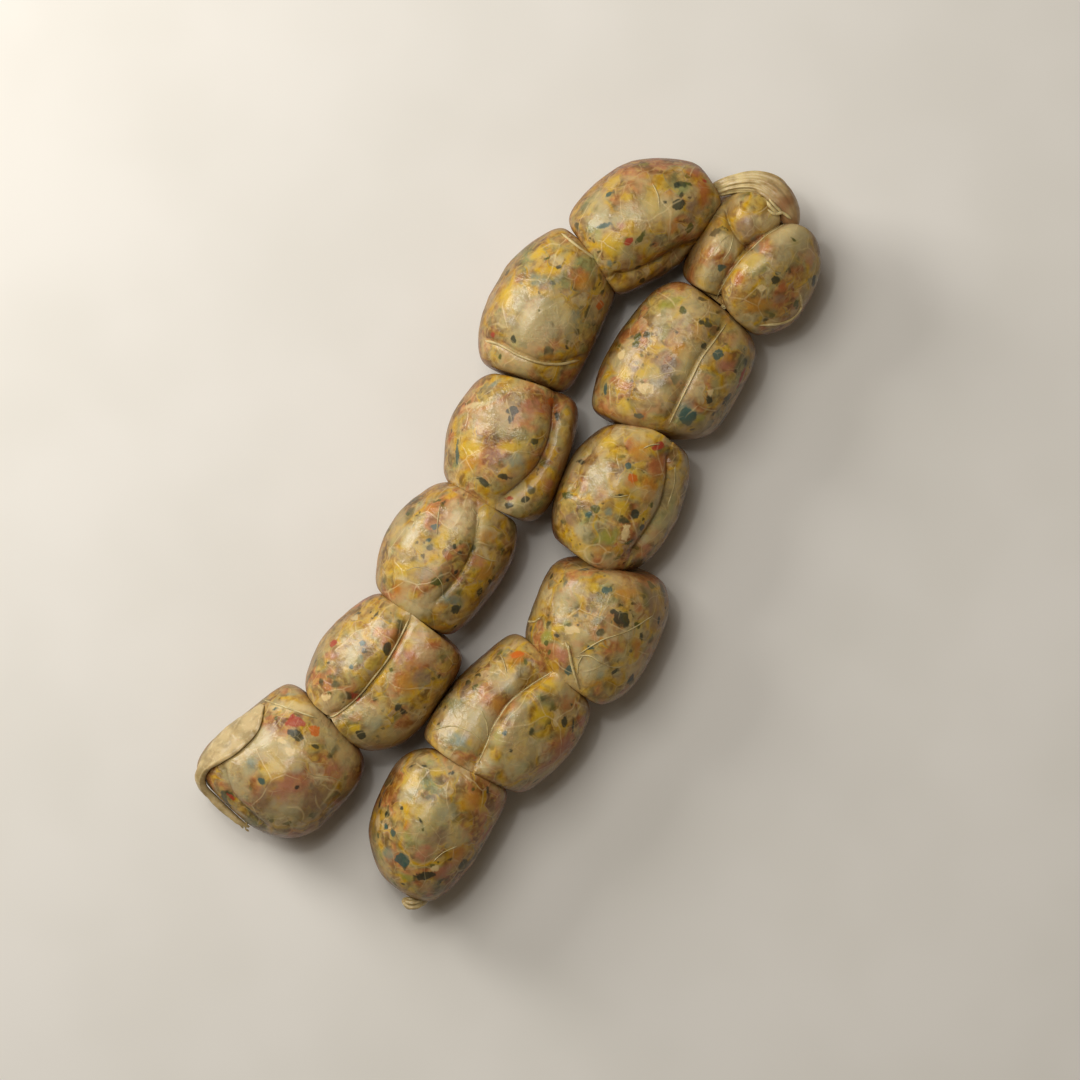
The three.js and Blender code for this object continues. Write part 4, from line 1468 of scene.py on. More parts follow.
def string_of_links() -> list[Link]:
    """Returns the twelve links with what shows on each."""
    leaf, teal, herb, lime, pepper, carrot, cream, yellow, ochre, amber, rust, rose, mauve, milk_and_sheen, \
        slate, film = Bit
    return [
        Link(1, ("loose_end", "p1"), (-71.3, -73), 45, 48.5, 43.3, (2.5, 3.1), -0.1, -1.2,
             creases=(Crease(((-91, -75), (-87.6, -84), (-77.5, -94)), 1.5, (5, 4)),),
             marks=(Mark(milk_and_sheen, -86, -80, 8, 12, 40), Mark(mauve, -74, -84, 18, 13, 30),
                    Mark(mauve, -64, -84, 16, 14, 40), Mark(milk_and_sheen, -79, -66, 9, 12, -40),
                    Mark(pepper, -67.2, -59.7, 6.6, 3.8, -8), Mark(carrot, -61.3, -62.5, 3, 4, 10),
                    Mark(leaf, -66.6, -63.8, 5.4, 3.4, -20), Mark(leaf, -61.1, -67.2, 3, 1.6, -30),
                    Mark(herb, -73.9, -58.5, 2, 1.2, 30), Mark(teal, -74.2, -55.9, 3.6, 1, 0),
                    Mark(slate, -69, -51.2, 4, 1.4, -15), Mark(cream, -71.4, -65.7, 2.8, 1.8, -30),
                    Mark(cream, -69, -68.7, 3.2, 3, 20), Mark(yellow, -73.9, -74.5, 8, 6.5, 20),
                    Mark(slate, -82.2, -73.6, 8, 5, 60), Mark(slate, -66.6, -75.3, 4, 2.6, 0),
                    Mark(leaf, -66.9, -80.2, 1.7, 1.7), Mark(teal, -78.1, -78.5, 2.6, 1.6, -40),
                    Mark(pepper, -87.7, -83.7, 3.4, 1.4, -40), Mark(herb, -82.6, -87.3, 2.6, 1, -40),
                    Mark(rose, -54.7, -75, 8, 6, 20), Mark(ochre, -53.2, -70.6, 5, 4, 0),
                    Mark(rose, -65, -69.7, 3.4, 3, 0), Mark(pepper, -54.9, -88.3, 2.6, 1.6, 60),
                    Mark(herb, -56.6, -88.6, 2.2, 1.2, 60), Mark(milk_and_sheen, -70, -86, 12, 9, 30),
                    Mark(film, -60, -77, 13, 1.4, -16), Mark(film, -63, -72, 9, 1.3, -44),
                    Mark(film, -69, -55, 16, 4, -14), Mark(rose, -68, -80, 14, 10, 30),
                    Mark(film, -57, -83, 10, 1.2, 60)),
             lines=(Line(((-78.6, -53), (-70.1, -55.4), (-60.6, -58.6)), 0.3),
                    Line(((-66, -72.8), (-62, -76.4), (-56.5, -77.2), (-52.5, -79)), 0.1))),
        Link(2, ("p1", "p2"), (-39.2, -45.8), 43, 58.9, 45.5, (1.9, 2), 0.11, 0.9,
             creases=(Crease(((-31, -26.2), (-34.9, -34.2), (-38.7, -40.6), (-42.9, -46),
                              (-47.7, -51.8), (-54.1, -57.2), (-58, -58.8)), 4.2, (12, 8),
                             strand=0.32),),
             marks=(Mark(leaf, -47.9, -25.5, 2.8, 1.3, -20), Mark(pepper, -55.7, -35.1, 2.6, 3.2, 20),
                    Mark(rose, -57, -39, 3, 5, 60), Mark(teal, -46.5, -34.6, 2.8, 2.2, -10),
                    Mark(leaf, -45.6, -37, 1.8, 1.8), Mark(slate, -47.2, -39.4, 2.6, 1.8, 60),
                    Mark(teal, -49.5, -42.2, 2.2, 1.7), Mark(leaf, -38.3, -36.4, 3.2, 5, -10),
                    Mark(cream, -57.7, -51.9, 3.4, 2, 10), Mark(herb, -56.6, -50.4, 2, 1, -20),
                    Mark(pepper, -47.7, -52.7, 2.2, 2), Mark(herb, -36.9, -43.1, 1.7, 1.5),
                    Mark(leaf, -34.9, -54.8, 2.6, 2, 40), Mark(leaf, -33.4, -56.6, 3, 2, -20),
                    Mark(leaf, -46.8, -63.9, 3, 4.2, 20), Mark(yellow, -48.6, -61.6, 3.6, 3),
                    Mark(rust, -27.6, -38.8, 8, 12, -20), Mark(ochre, -31.7, -47.4, 8, 7),
                    Mark(yellow, -31.7, -35.1, 4, 4), Mark(mauve, -28, -46, 7, 5, -20),
                    # the milk patch at (-50, -39) is a painted highlight
                    Mark(slate, -42, -60, 8, 5, 50), Mark(milk_and_sheen, -50, -39, 5, 9, -20))),
        Link(3, ("p2", "p3"), (-16.9, -9), 54, 53.6, 38.9, (2.5, 2.1), 0.02, 4.1,
             creases=(Crease(((-9.3, 7.4), (-9.9, -2.2), (-13.1, -10.2), (-17.3, -16.6),
                              (-23.7, -23)), 2.8, (7, 8)),),
             marks=(Mark(amber, -25, 7.2, 6, 3, -12), Mark(herb, -22.5, 10.2, 3, 1.1, 5),
                    Mark(herb, -32, 6.2, 1.6, 2.2, 20), Mark(leaf, -31, 10, 3.2, 1.4, 45),
                    Mark(teal, -23.2, 2.5, 3, 1.6, 10), Mark(teal, -25.2, -2, 1.8, 1.2),
                    Mark(yellow, -20.8, -2, 4.6, 7, -25), Mark(film, -15, 4.6, 11, 10, 20),
                    Mark(leaf, -17, -4.4, 1.8, 1.6), Mark(leaf, -15.2, -6, 2, 1.4),
                    Mark(rust, -19.2, -7.5, 3.2, 3), Mark(leaf, -16.5, -12.7, 1.7, 1.4),
                    Mark(yellow, -32, -11.6, 11, 5, 8), Mark(mauve, -27, -13, 9, 5, 10),
                    Mark(herb, -22.5, -15.3, 3.4, 2.4, -15), Mark(leaf, -19.2, -15.3, 1.2, 1.7),
                    Mark(amber, -34, -18, 6, 4.4), Mark(film, -26, -22, 13, 6, 30),
                    Mark(rose, -10, -9, 5, 4), Mark(ochre, -7.4, -12.4, 7, 5),
                    Mark(ochre, -7, -1, 6, 5), Mark(leaf, -9.2, -18.5, 2.6, 3),
                    Mark(leaf, -6, -15.6, 1.6, 3.6, 20), Mark(leaf, -16.6, -24, 3, 3.2),
                    Mark(slate, -18, -21.6, 6, 4), Mark(leaf, -17, -29.7, 1.6, 1.2),
                    # the milk patch at (-31, 0) is a painted highlight
                    Mark(ochre, -22, -30, 9, 2, -20), Mark(milk_and_sheen, -31, 0, 9, 8, 60),
                    Mark(lime, -36.8, -2.6, 2.4, 3)),
             lines=(Line(((-21.6, 9.4), (-22.4, 4), (-22.6, -0.6)), 0.16),
                    Line(((-32.6, -12), (-29, -10.8), (-24.4, -12), (-21, -16.4), (-21.4, -22)), 0.11),
                    Line(((-11.6, 8), (-9.6, 4.4), (-10.2, 0.6)), 0.16),
                    Line(((-10.4, -6.6), (-6.4, -8.4), (-3.4, -9)), 0.16))),
        Link(4, ("p3", "p4"), (4.8, 24.6), 72, 53.5, 42.7, (2, 2.1), 0.08, 4.5,
             creases=(Crease(((15.7, 42.6), (15, 33), (13.1, 26.6), (9.9, 20.2), (3.5, 13.8),
                              (-1.9, 9.6)), 5, (6, 7)),),
             marks=(Mark(leaf, 1.2, 38.6, 4.4, 3.4, 0), Mark(leaf, 0.8, 36, 1.8, 2.6, 0),
                    Mark(slate, -4.3, 47.6, 5, 2, 20), Mark(carrot, 13.4, 41.5, 3, 3.4, 0),
                    Mark(rust, 12.2, 39, 7, 6), Mark(rose, 7.2, 39, 7, 6),
                    Mark(leaf, 15.2, 36.9, 1.6, 2.8), Mark(teal, -16.4, 24.8, 7, 1.8, 97),
                    Mark(leaf, -18.3, 32, 2.6, 1, 80), Mark(yellow, -11.6, 26.6, 8, 6),
                    Mark(ochre, -12, 22.2, 6, 5), Mark(leaf, -7.9, 16.1, 5, 2.2, -32),
                    Mark(leaf, -1.5, 17.7, 3.8, 2, -20), Mark(slate, 3.1, 23, 7, 5),
                    Mark(yellow, 0.8, 26.8, 8, 4), Mark(ochre, 7.2, 20.7, 6, 8),
                    Mark(rose, 12.7, 15.2, 5, 5), Mark(pepper, -0.1, 11, 3, 1.6, 10),
                    Mark(leaf, -0.1, 8.4, 3, 1.8), Mark(leaf, 5.3, 10.6, 3, 2.4, 40),
                    Mark(yellow, -0.1, 13.4, 4, 3.6), Mark(film, -10.2, 40.8, 10, 2, -8))),
        Link(5, ("p4", "p5"), (14.6, 71), 62, 59, 36.4, (3.1, 2.5), -0.04, 2.4,
             creases=(Crease(((-7.7, 61.2), (-2.9, 59.6), (3.5, 56), (9.9, 53.8), (16.3, 53.5),
                              (22.7, 55.1)), 1.6, (4, 4), strand=0.5),),
             marks=(Mark(rust, 22, 81.7, 8, 6), Mark(carrot, 29, 72.1, 3.4, 3.4),
                    Mark(ochre, 24.3, 78.5, 7, 6), Mark(yellow, 8.8, 88.5, 6, 5),
                    Mark(leaf, 15.9, 83.7, 2.2, 1.4, -20), Mark(herb, 12, 86.6, 2.8, 1, 20),
                    Mark(slate, 8.8, 80.4, 6, 5), Mark(slate, 20.7, 68.9, 5, 4),
                    Mark(leaf, 1.2, 61.2, 1.8, 3, 10), Mark(lime, 2, 59.8, 3, 5),
                    Mark(pepper, -5.2, 62.7, 2, 2.3), Mark(herb, 9.5, 70.5, 1.1, 1.1),
                    # the milk patches at (11, 67.6) and (3, 74) are painted highlight where the gloss
                    # shines
                    Mark(milk_and_sheen, 11, 67.6, 20, 17, 50), Mark(milk_and_sheen, 3, 74, 10, 12),
                    Mark(film, 7, 69, 12, 6, 60), Mark(ochre, 4.2, 57.5, 6, 3, -20),
                    Mark(ochre, 12.8, 55.4, 7, 2.6), Mark(leaf, 18.3, 58.4, 1.6, 1.6),
                    Mark(herb, -2.7, 55.8, 1.5, 2.1), Mark(yellow, -1, 75, 6, 10, 0)),
             lines=(Line(((16.6, 95.2), (22, 90.6), (28, 86.4)), 0.4, 0.2),)),
        Link(6, ("p5", "sleeve_start"), (46.6, 97.1), 32, 53.8, 36.3, (3.1, 1.9), -0.08, 4.8,
             creases=(Crease(((33, 80), (38.7, 81), (45.1, 83.6), (51.5, 86.8), (57.9, 90.6)),
                             4, (8, 6)),),
             marks=(Mark(leaf, 53.5, 103.7, 3.6, 4, 0), Mark(leaf, 53, 109.8, 2.2, 2.4),
                    Mark(herb, 56.5, 110.5, 2.2, 1.3), Mark(leaf, 54.6, 106.8, 1.6, 2.4),
                    Mark(leaf, 49.4, 104.3, 1.6, 1.2), Mark(rust, 58.5, 114.4, 6, 5),
                    Mark(rust, 62, 108, 5, 9), Mark(pepper, 62, 111.6, 2.2, 1.2, -20),
                    Mark(pepper, 46.5, 119.6, 4, 1.2), Mark(lime, 42.9, 117.2, 3.4, 2.2, 10),
                    Mark(yellow, 33, 112, 9, 6, 30), Mark(yellow, 37, 106.4, 4.4, 3.6),
                    Mark(yellow, 46, 103.4, 4.6, 7, 10), Mark(ochre, 50.8, 106.6, 4.4, 3),
                    # the milk patch at (30, 101) is a painted highlight
                    Mark(milk_and_sheen, 30, 101, 5, 9, 10), Mark(milk_and_sheen, 38, 101, 12, 7, 0),
                    Mark(teal, 32, 107.3, 3.2, 1.6, 20), Mark(teal, 29.8, 97, 5, 1.6, 10),
                    Mark(lime, 28.4, 94, 2.6, 4.4), Mark(rose, 35.6, 97, 2.8, 2.6),
                    Mark(pepper, 38.3, 91.8, 3.2, 2.4, 30), Mark(herb, 41.9, 93.4, 4.6, 2, 62),
                    Mark(leaf, 45.8, 91.5, 2, 1, 30), Mark(amber, 51.6, 97.4, 4.4, 5),
                    Mark(yellow, 33, 91.5, 8, 6.4), Mark(leaf, 41, 84.4, 3, 2.4),
                    Mark(slate, 32, 85, 2.2, 2.4), Mark(leaf, 42.4, 80.4, 2.4, 3, 60),
                    Mark(herb, 57.6, 96.6, 2.2, 4, -30), Mark(mauve, 58, 102, 6, 8),
                    Mark(ochre, 47.6, 88, 6, 5)),
             lines=(Line(((45.4, 110.6), (47.2, 106.6), (47.6, 102.4)), 0.18),)),
        Link(7, ("sleeve_end", "p7"), (72.8, 90.5), -127, 42.8, 48, (2, 2.6), -0.01, 4.6,
             creases=(Crease(((89.9, 99.6), (85.4, 96.7), (81, 93.8), (76.5, 89.6), (72.3, 85.2),
                              (68.2, 79.1), (65.9, 74), (66.2, 68.8)), 6.5, (7, 13), 1.2, 0.15),
                      Crease(((67.6, 105), (68.8, 100.8), (71.1, 96.4), (74.3, 92.5),
                              (77.5, 90.6)), 4.5, (6, 8))),
             marks=(Mark(lime, 90.4, 92.4, 6, 4.6), Mark(herb, 90.2, 92.6, 2, 1.1, -30),
                    Mark(leaf, 84, 79.6, 3.2, 3), Mark(cream, 79.9, 77.6, 2.6, 2),
                    Mark(rose, 79.4, 90.4, 6, 5), Mark(rose, 95.5, 87.6, 5, 6),
                    Mark(yellow, 76.9, 85.8, 7, 5), Mark(ochre, 78.8, 72.2, 9, 6),
                    Mark(slate, 77.3, 93.2, 2.6, 3), Mark(mauve, 74.6, 95.9, 9, 8),
                    Mark(teal, 67.3, 84, 3.4, 2.2), Mark(leaf, 65.5, 95.4, 5, 2.6, 20),
                    Mark(mauve, 85.8, 74.2, 4, 3), Mark(leaf, 97, 80.3, 2.4, 4.4),
                    Mark(herb, 91, 72.8, 2.4, 3.4), Mark(milk_and_sheen, 68.7, 92.2, 10, 8),
                    Mark(milk_and_sheen, 64.5, 81.7, 9, 8), Mark(film, 87.4, 95.9, 14, 9),
                    Mark(film, 69.2, 88.4, 10, 1.6, 70), Mark(film, 66.6, 90, 9, 1.4, 50),
                    Mark(film, 65.6, 93, 8, 1.3, 28), Mark(film, 71.8, 88, 8, 1.2, 88),
                    # the milk patches at (87.6, 88.6) and (92, 93.4) are painted highlight on the top
                    # of the lobe
                    Mark(milk_and_sheen, 87.6, 88.6, 13, 9, 60), Mark(milk_and_sheen, 92, 93.4, 7, 8, 60),
                    Mark(lime, 90.6, 92, 3.4, 2)),
             lines=(Line(((92.4, 76), (93.1, 72), (90.6, 68.6), (86.4, 66.6), (79.4, 65.9)),
                         0.45, 0.15),
                    Line(((71.2, 94.6), (70, 89.6), (67.6, 86)), 0.12),
                    Line(((70.2, 94.4), (67.4, 92.4), (65, 88.6)), 0.1))),
        Link(8, ("p7", "p8"), (50.5, 54.4), -121, 60.9, 42.9, (3, 2.9), 0.03, 3.5,
             creases=(Crease(((69.2, 66.6), (64.6, 60.2), (61.1, 55.4), (57.9, 49), (54.7, 42.6),
                              (50.9, 34.6)), 2.6, (9, 10), strand=0.32),),
             marks=(Mark(lime, 51, 72.9, 10, 5), Mark(herb, 55, 70.4, 2.6, 3),
                    Mark(leaf, 61.4, 73.9, 2.6, 1.6), Mark(leaf, 61, 66.2, 1.9, 1.7),
                    Mark(leaf, 62.1, 59.3, 2.4, 2.6), Mark(milk_and_sheen, 49.6, 68.5, 8, 6),
                    Mark(herb, 40.2, 59.6, 3, 2.4), Mark(herb, 41, 62.2, 3, 2.6),
                    Mark(cream, 35.8, 56.7, 3, 3), Mark(yellow, 36.9, 50.7, 4.6, 5.4),
                    Mark(yellow, 44.2, 51.2, 8, 5), Mark(cream, 43.1, 45.8, 5.4, 3.6, -5),
                    Mark(ochre, 54.4, 57.6, 7, 6), Mark(ochre, 60.2, 63, 3.6, 5),
                    Mark(mauve, 50.6, 52.7, 8, 6), Mark(teal, 65.8, 56.4, 4, 2.8, 30),
                    Mark(rose, 68.5, 52.7, 7, 5), Mark(ochre, 69.6, 55.7, 4, 3),
                    Mark(teal, 56.4, 36.6, 6, 7), Mark(slate, 55.5, 39, 8, 8),
                    Mark(leaf, 63.4, 42, 2.2, 3), Mark(leaf, 68.2, 41.3, 1.6, 1.6),
                    Mark(cream, 63.8, 44.1, 2.2, 2.6), Mark(lime, 60.6, 36.5, 4, 3),
                    Mark(teal, 41, 36.9, 2.8, 2.2), Mark(yellow, 36.6, 39.9, 5, 5),
                    Mark(pepper, 74, 49.7, 2, 6, -20), Mark(teal, 30.6, 45.8, 2, 4),
                    Mark(leaf, 58.4, 32.9, 2.2, 1.2))),
        Link(9, ("p8", "p9"), (32.3, 14), -128, 57.9, 41, (1.9, 1.9), 0.06, 3.3,
             creases=(Crease(((52.2, 25), (52.2, 17), (49.9, 7.4), (45.1, -0.6), (40.3, -7)),
                             3.4, (5, 8)),
                      Crease(((25.9, 26.6), (22.1, 21.8), (20.2, 13.8)), 1.6, (4, 4))),
             # the milk patch at (28.6, 18.6) is a painted highlight
             marks=(Mark(yellow, 31, 28.4, 8, 5.4, 0), Mark(milk_and_sheen, 28.6, 18.6, 9, 13, -15),
                    Mark(herb, 27.6, 7.8, 3, 3, 40), Mark(teal, 25.4, 6, 2.6, 2),
                    Mark(slate, 31.4, 7, 3, 2.4), Mark(yellow, 35.6, 8, 4.4, 5),
                    Mark(leaf, 40, 5.6, 3.4, 3.2), Mark(slate, 40.2, 5.4, 1.6, 1.4),
                    Mark(leaf, 42.4, 2, 2.2, 2.4), Mark(lime, 31, -1.2, 7, 5, 20),
                    Mark(cream, 36.8, 0.4, 5.4, 2.4, 80), Mark(herb, 38, -2.8, 3.4, 1.6),
                    Mark(ochre, 30, -5.6, 9, 3, 5), Mark(teal, 38, 21.4, 2.2, 2),
                    Mark(carrot, 39.2, 17.6, 3, 3.4, 60), Mark(amber, 38.4, 15.6, 4, 5),
                    Mark(pepper, 47.4, 27.6, 5, 2.4, 20), Mark(rust, 48.4, 20.6, 8, 8),
                    Mark(herb, 45.6, 9, 1.6, 2), Mark(rose, 46, -0.8, 4, 4),
                    Mark(rose, 43.4, -4.6, 3, 2.4), Mark(leaf, 35, 11.8, 3, 1),
                    Mark(ochre, 41.6, 26.4, 6, 8), Mark(amber, 44.4, 13.4, 6, 8),
                    Mark(mauve, 19.6, 4.4, 5, 5), Mark(leaf, 23.4, 22.4, 1.8, 4.4, 60),
                    Mark(herb, 18.4, 12, 2, 5, 70), Mark(milk_and_sheen, 23, 0.6, 6, 5)),
             lines=(Line(((42.6, 26.8), (45, 27.8), (48, 28.2)), 0.2),
                    Line(((31, 12.4), (34, 11.4), (38, 12)), 0.16),
                    Line(((52.8, 21.6), (52.4, 15), (50.4, 8.4)), 0.2))),
        Link(10, ("p9", "p10"), (28.3, -28.3), -113, 58.4, 42.4, (2, 2.3), -0.05, -0.1,
             creases=(Crease(((17.9, -34.2), (19.5, -39), (21.1, -45.4), (22.7, -49.6)), 1.2,
                             (4, 4), strand=0.3),),
             marks=(Mark(leaf, 35.6, -26.8, 5.2, 4.4, -30), Mark(leaf, 32.7, -24.6, 2.2, 1.7, 30),
                    Mark(herb, 40.6, -28.8, 2.8, 1.8, -30), Mark(leaf, 41.8, -33, 3.2, 1.6, -70),
                    Mark(rust, 41, -23.6, 3.4, 3.4), Mark(ochre, 36.4, -18.6, 7, 5),
                    Mark(yellow, 26.4, -17.4, 4.4, 4), Mark(teal, 30.9, -17.7, 3.2, 2.6),
                    Mark(teal, 24, -11.6, 3, 1.6), Mark(leaf, 19, -8.8, 2.2, 1.1, 20),
                    Mark(leaf, 15.3, -32.4, 2.2, 1.5, -10), Mark(herb, 12, -35, 1.8, 1.7),
                    Mark(herb, 12.9, -37.8, 1.3, 2), Mark(yellow, 16, -30, 4.6, 3),
                    Mark(cream, 20, -30.6, 5.2, 2.6, 5), Mark(teal, 19.3, -42.8, 3, 3.4),
                    Mark(leaf, 33.8, -43.8, 3.4, 1.8, 15), Mark(leaf, 39, -46, 3.6, 2.2, 60),
                    Mark(slate, 29, -45, 3, 2.4), Mark(teal, 26, -36, 2.4, 1.6),
                    Mark(amber, 40.8, -36.4, 3, 7.4, 10), Mark(ochre, 27, -47.8, 7, 2.4, 5),
                    # the milk patch at (17, -22) is a painted highlight
                    Mark(milk_and_sheen, 26.4, -42, 13, 8, -20), Mark(milk_and_sheen, 17, -22, 8, 12, -20),
                    Mark(lime, 12, -32.6, 5, 6), Mark(mauve, 46, -24, 6, 14, 10),
                    Mark(leaf, 47.6, -27.4, 1.4, 3.4), Mark(herb, 45, -16.4, 2.4, 3.4, 30),
                    Mark(rust, 21.4, -34.8, 4.4, 2.6), Mark(rose, 17, -38.4, 5, 5)),
             lines=(Line(((5.9, -28.2), (8, -28.2), (10, -27)), 0.42),
                    Line(((18.7, -35), (19.4, -39), (20.4, -43.4), (22.4, -49.6)), 0.4, 0.2),
                    Line(((23.4, -38.6), (22, -41.6), (21.8, -45)), 0.22),
                    Line(((21, -39.2), (25.4, -38.8), (29.6, -41.2), (33, -42.4), (36.6, -42.4)), 0.2),
                    Line(((22, -38.4), (29.4, -33.8), (37.6, -31), (46, -26)), 0.18))),
        Link(11, ("p10", "p11"), (-2.9, -55.4), -136, 58.9, 43.1, (2.8, 2.3), 0.1, 5,
             creases=(Crease(((14.1, -43.8), (8.3, -47.3), (3.5, -50.8), (-0.3, -54.4),
                              (-2.9, -58.2), (-5.4, -62.4), (-6.7, -66.2), (-9.9, -73.2)), 5,
                             (5.5, 12), 1.0, 0.26),),
             marks=(Mark(carrot, 2.6, -38.4, 5, 2.6, 5), Mark(amber, 2.8, -39.4, 8, 5),
                    Mark(leaf, -11.4, -41.4, 2.4, 2), Mark(herb, 5.6, -40.6, 1.4, 3),
                    Mark(slate, 0, -49, 4, 4.4), Mark(herb, -10.8, -48.8, 2, 2.4),
                    Mark(milk_and_sheen, -10, -59.6, 13, 13, 40), Mark(slate, -17, -65, 8, 5, -30),
                    Mark(ochre, -3, -54.4, 5, 5), Mark(mauve, -12, -49, 7, 5, 40),
                    Mark(yellow, 13.4, -47.4, 7, 3.6, -20), Mark(yellow, 6.4, -50, 5, 2, 30),
                    Mark(leaf, 17.6, -60.2, 2.6, 3.7), Mark(leaf, 20.6, -61, 0.9, 4.4, 0),
                    Mark(slate, 1.2, -57.4, 2.6, 2.4), Mark(teal, -1.2, -63, 1.8, 1.8),
                    Mark(lime, -3.4, -65, 3.6, 4.6), Mark(leaf, 0.5, -68.6, 1.3, 1.3),
                    Mark(leaf, -2.6, -79.8, 1.3, 1.8), Mark(yellow, 10.8, -58, 6, 6),
                    Mark(rust, 17.4, -68.4, 8, 11, 0), Mark(milk_and_sheen, -7, -73.4, 6, 7),
                    Mark(milk_and_sheen, 2, -74.6, 8, 6), Mark(rose, 11.6, -74.6, 8, 5),
                    Mark(herb, 8.4, -79, 3, 1.1, 10), Mark(rust, 18.6, -53.6, 7, 6),
                    Mark(ochre, 3.6, -68.8, 5, 4), Mark(leaf, 19.8, -54.4, 1, 1)),
             lines=(Line(((-24.4, -62.6), (-18, -61), (-11.6, -63), (-8, -66.6)), 0.18),
                    Line(((-2.6, -38.4), (-1.4, -41.4), (-0.6, -44.4)), 0.22),
                    Line(((-9, -55.4), (-7, -60), (-6.6, -65)), 0.16))),
        Link(12, ("p11", "knot"), (-23.7, -92.9), -118, 52.4, 37.6, (2.5, 1.9), -0.05, -1.8,
             marks=(Mark(yellow, -31.4, -78.4, 8, 6, 30), Mark(leaf, -31, -74, 2.4, 1, 10),
                    Mark(leaf, -26.6, -73.8, 1.7, 1), Mark(leaf, -18, -75.8, 2, 1),
                    Mark(yellow, -22.6, -75.6, 5, 3.4), Mark(leaf, -40.8, -85.4, 4.2, 2, 75),
                    Mark(leaf, -39.4, -82, 3, 1.2, 60), Mark(leaf, -34, -87, 1.3, 1.5),
                    Mark(leaf, -38.8, -89.2, 1.4, 1), Mark(teal, -38.8, -93, 1.6, 2.4, 10),
                    Mark(teal, -36.6, -95, 2.6, 2), Mark(slate, -19.4, -88.4, 7, 4.4, 10),
                    Mark(ochre, -12, -84.6, 9, 6), Mark(leaf, -27.8, -91, 2.6, 0.9, 120),
                    Mark(herb, -27.2, -93.6, 1.3, 1.1), Mark(lime, -32, -95.4, 3.4, 4.4),
                    Mark(teal, -33.4, -103.4, 5, 4.4, 30), Mark(slate, -37.6, -101.6, 6, 4),
                    Mark(lime, -41.4, -103.6, 4, 7), Mark(leaf, -43, -103, 1, 2.2),
                    Mark(leaf, -26.4, -108.7, 5.2, 3, 12), Mark(leaf, -33.8, -111.5, 1.4, 1),
                    Mark(leaf, -18.4, -103.3, 2, 1.3), Mark(cream, -23.4, -106.4, 3, 2.2, 10),
                    Mark(amber, -16, -101.6, 7, 8, 20), Mark(lime, -32, -109.4, 5, 2.4),
                    Mark(pepper, -6.6, -95, 4.4, 1.6, 60), Mark(rust, -3.4, -87.6, 4, 9),
                    Mark(herb, -11.2, -81, 1.1, 1.1), Mark(leaf, -6.6, -81.4, 1.2, 2.6),
                    Mark(herb, -41.6, -96, 1.6, 1.8), Mark(mauve, -22, -96, 9, 7),
                    # the milk patch at (-32, -83) is a painted highlight
                    Mark(rose, -20.4, -107, 9, 5, 20), Mark(milk_and_sheen, -32, -83, 8, 5),
                    Mark(rose, -27, -101, 9, 6, 20), Mark(yellow, -27, -87.6, 8, 5),
                    Mark(film, -41.6, -91.4, 3, 5)),
             lines=(Line(((-24, -104), (-20.6, -101), (-16, -99)), 0.15),)),
    ]


def slack_sleeve() -> CasingTube:
    """Returns the slack casing from link 6 to link 7."""
    return CasingTube(
        "slack_sleeve",
        ((64.4, 108.8, 24), (71.2, 110.8, 27), (77.4, 111.2, 29), (82.2, 109.3, 29.5),
         (85.8, 106, 29.5), (88.3, 102.4, 29), (89.8, 99.2, 28.5), (90.6, 96.2, 27.5)),
        ((3.6, 2.8), (3.3, 3), (3.7, 3.4), (4.6, 4), (4.9, 4), (4.3, 3.6), (3.3, 2.8), (2, 1.8)),
        folds=9, fold_height=0.075, plain_after=0.4)


def end_knot() -> CasingTube:
    """Returns the knotted tail at the end of link 12."""
    return CasingTube(
        "end_knot",
        ((-34, -117.3, 16), (-31.6, -118.5, 17), (-28.6, -118.1, 16.5), (-26.2, -117.7, 15.5)),
        ((1.2, 1.6), (2, 2.4), (1.8, 2.2), (0.8, 1.2)), folds=5, fold_height=0.14, segments=72,
        rings=60)


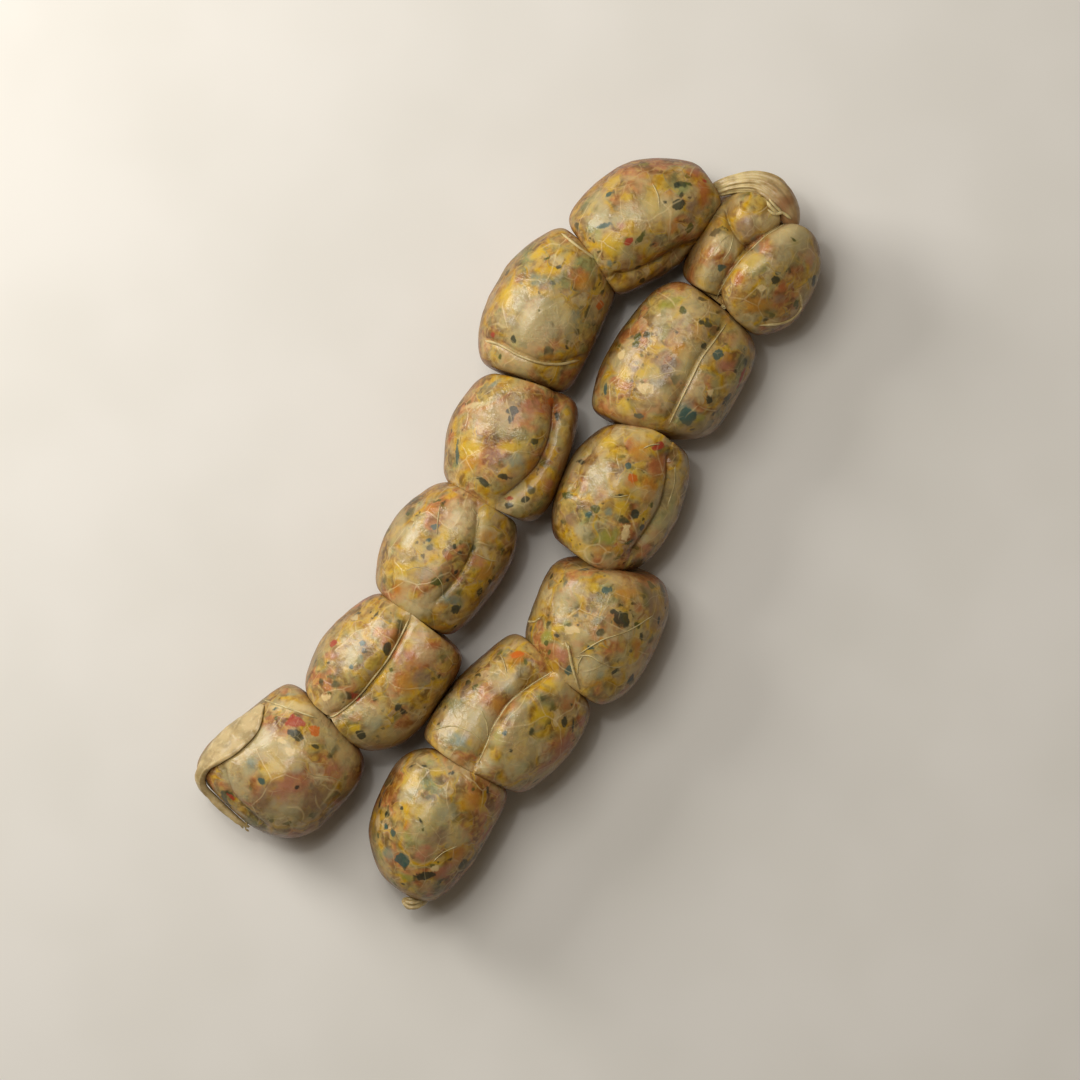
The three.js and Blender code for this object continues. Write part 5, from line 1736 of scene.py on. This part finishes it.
def folded_end() -> FoldedEnd:
    """Returns the folded end of the casing on link 1."""
    return FoldedEnd(
        "folded_casing_end",
        ((-78.5, -53.6, 27), (-83.6, -58.4, 29), (-89.4, -64.8, 29), (-94, -70.4, 28),
         (-96, -73.6, 27), (-96.8, -78, 24.8), (-95.1, -82.6, 22), (-90.6, -87.4, 20.5),
         (-85.5, -91.1, 19.5), (-82.4, -93.1, 19.5)),
        ((2.6, 0.4), (8.6, 0.45), (9, 0.5), (5.6, 0.5), (3, 0.8), (1.9, 1.4), (1.9, 1.5),
         (1.9, 1.5), (1.9, 1.3), (0.9, 0.6)),
        folds=0, fold_height=0, lies_on=(-71.3, -73, 17.6), segments=140, rings=220,
        bumps=((-80.5, -57.5, 0.9), (-82.5, -61.5, 0.8), (-84.5, -66, 1.0), (-86, -70, 1.2),
               (-88.5, -63.5, 0.7), (-83.6, -69.2, 0.7)))


def main() -> None:
    """Builds the string piece by piece and sets up the studio."""
    logging.basicConfig(level=logging.INFO, format="%(message)s")
    filled = FilledCasing().make()
    empty = EmptyCasing().make()
    folded = EmptyCasing("moist_folded_casing", "#bda574", "#9a8454", "#dcc898").make()
    links = string_of_links()
    for link in links:
        link.build(filled, empty)
    for first in (1, 2, 3, 4, 5, 7, 8, 9, 10, 11):
        Gather(first).build(empty)
    slack_sleeve().build(empty, blush=(0.68, 9.5))
    end_knot().build(empty)
    folded_end().build_on(links[0].skin, folded)
    LooseThreads("frayed_thread",
                 (((-85, -91, 20), (-83.8, -92.6, 20.1), (-84.2, -94.4, 19.6), (-83.2, -95.4, 18.8)),
                  ((-85.4, -91.4, 20), (-85.8, -93.2, 19.6), (-85, -94.4, 19.2)),
                  ((-84.2, -91.2, 20.5), (-82.6, -91.6, 20.6), (-81.8, -93, 20.2)),
                  ((-83.4, -91.8, 20.2), (-82, -90.8, 20.6), (-80.2, -91.6, 20.6))), 0.36).build(empty)
    LooseThreads("sleeve_string",
                 (((82.4, 105.8, 33.4), (84, 103.8, 33.2), (86.4, 101.6, 32.8)),
                  ((81.6, 105, 33.8), (83.2, 102.9, 33.9), (85.6, 100.8, 32.8)),
                  ((81.9, 102.3, 34.3), (84.2, 100.9, 33.7), (86.8, 101.3, 32.8), (89.6, 99.4, 31.9))),
                 0.5).build(empty)
    Studio().build()


if __name__ == "__main__":
    main()
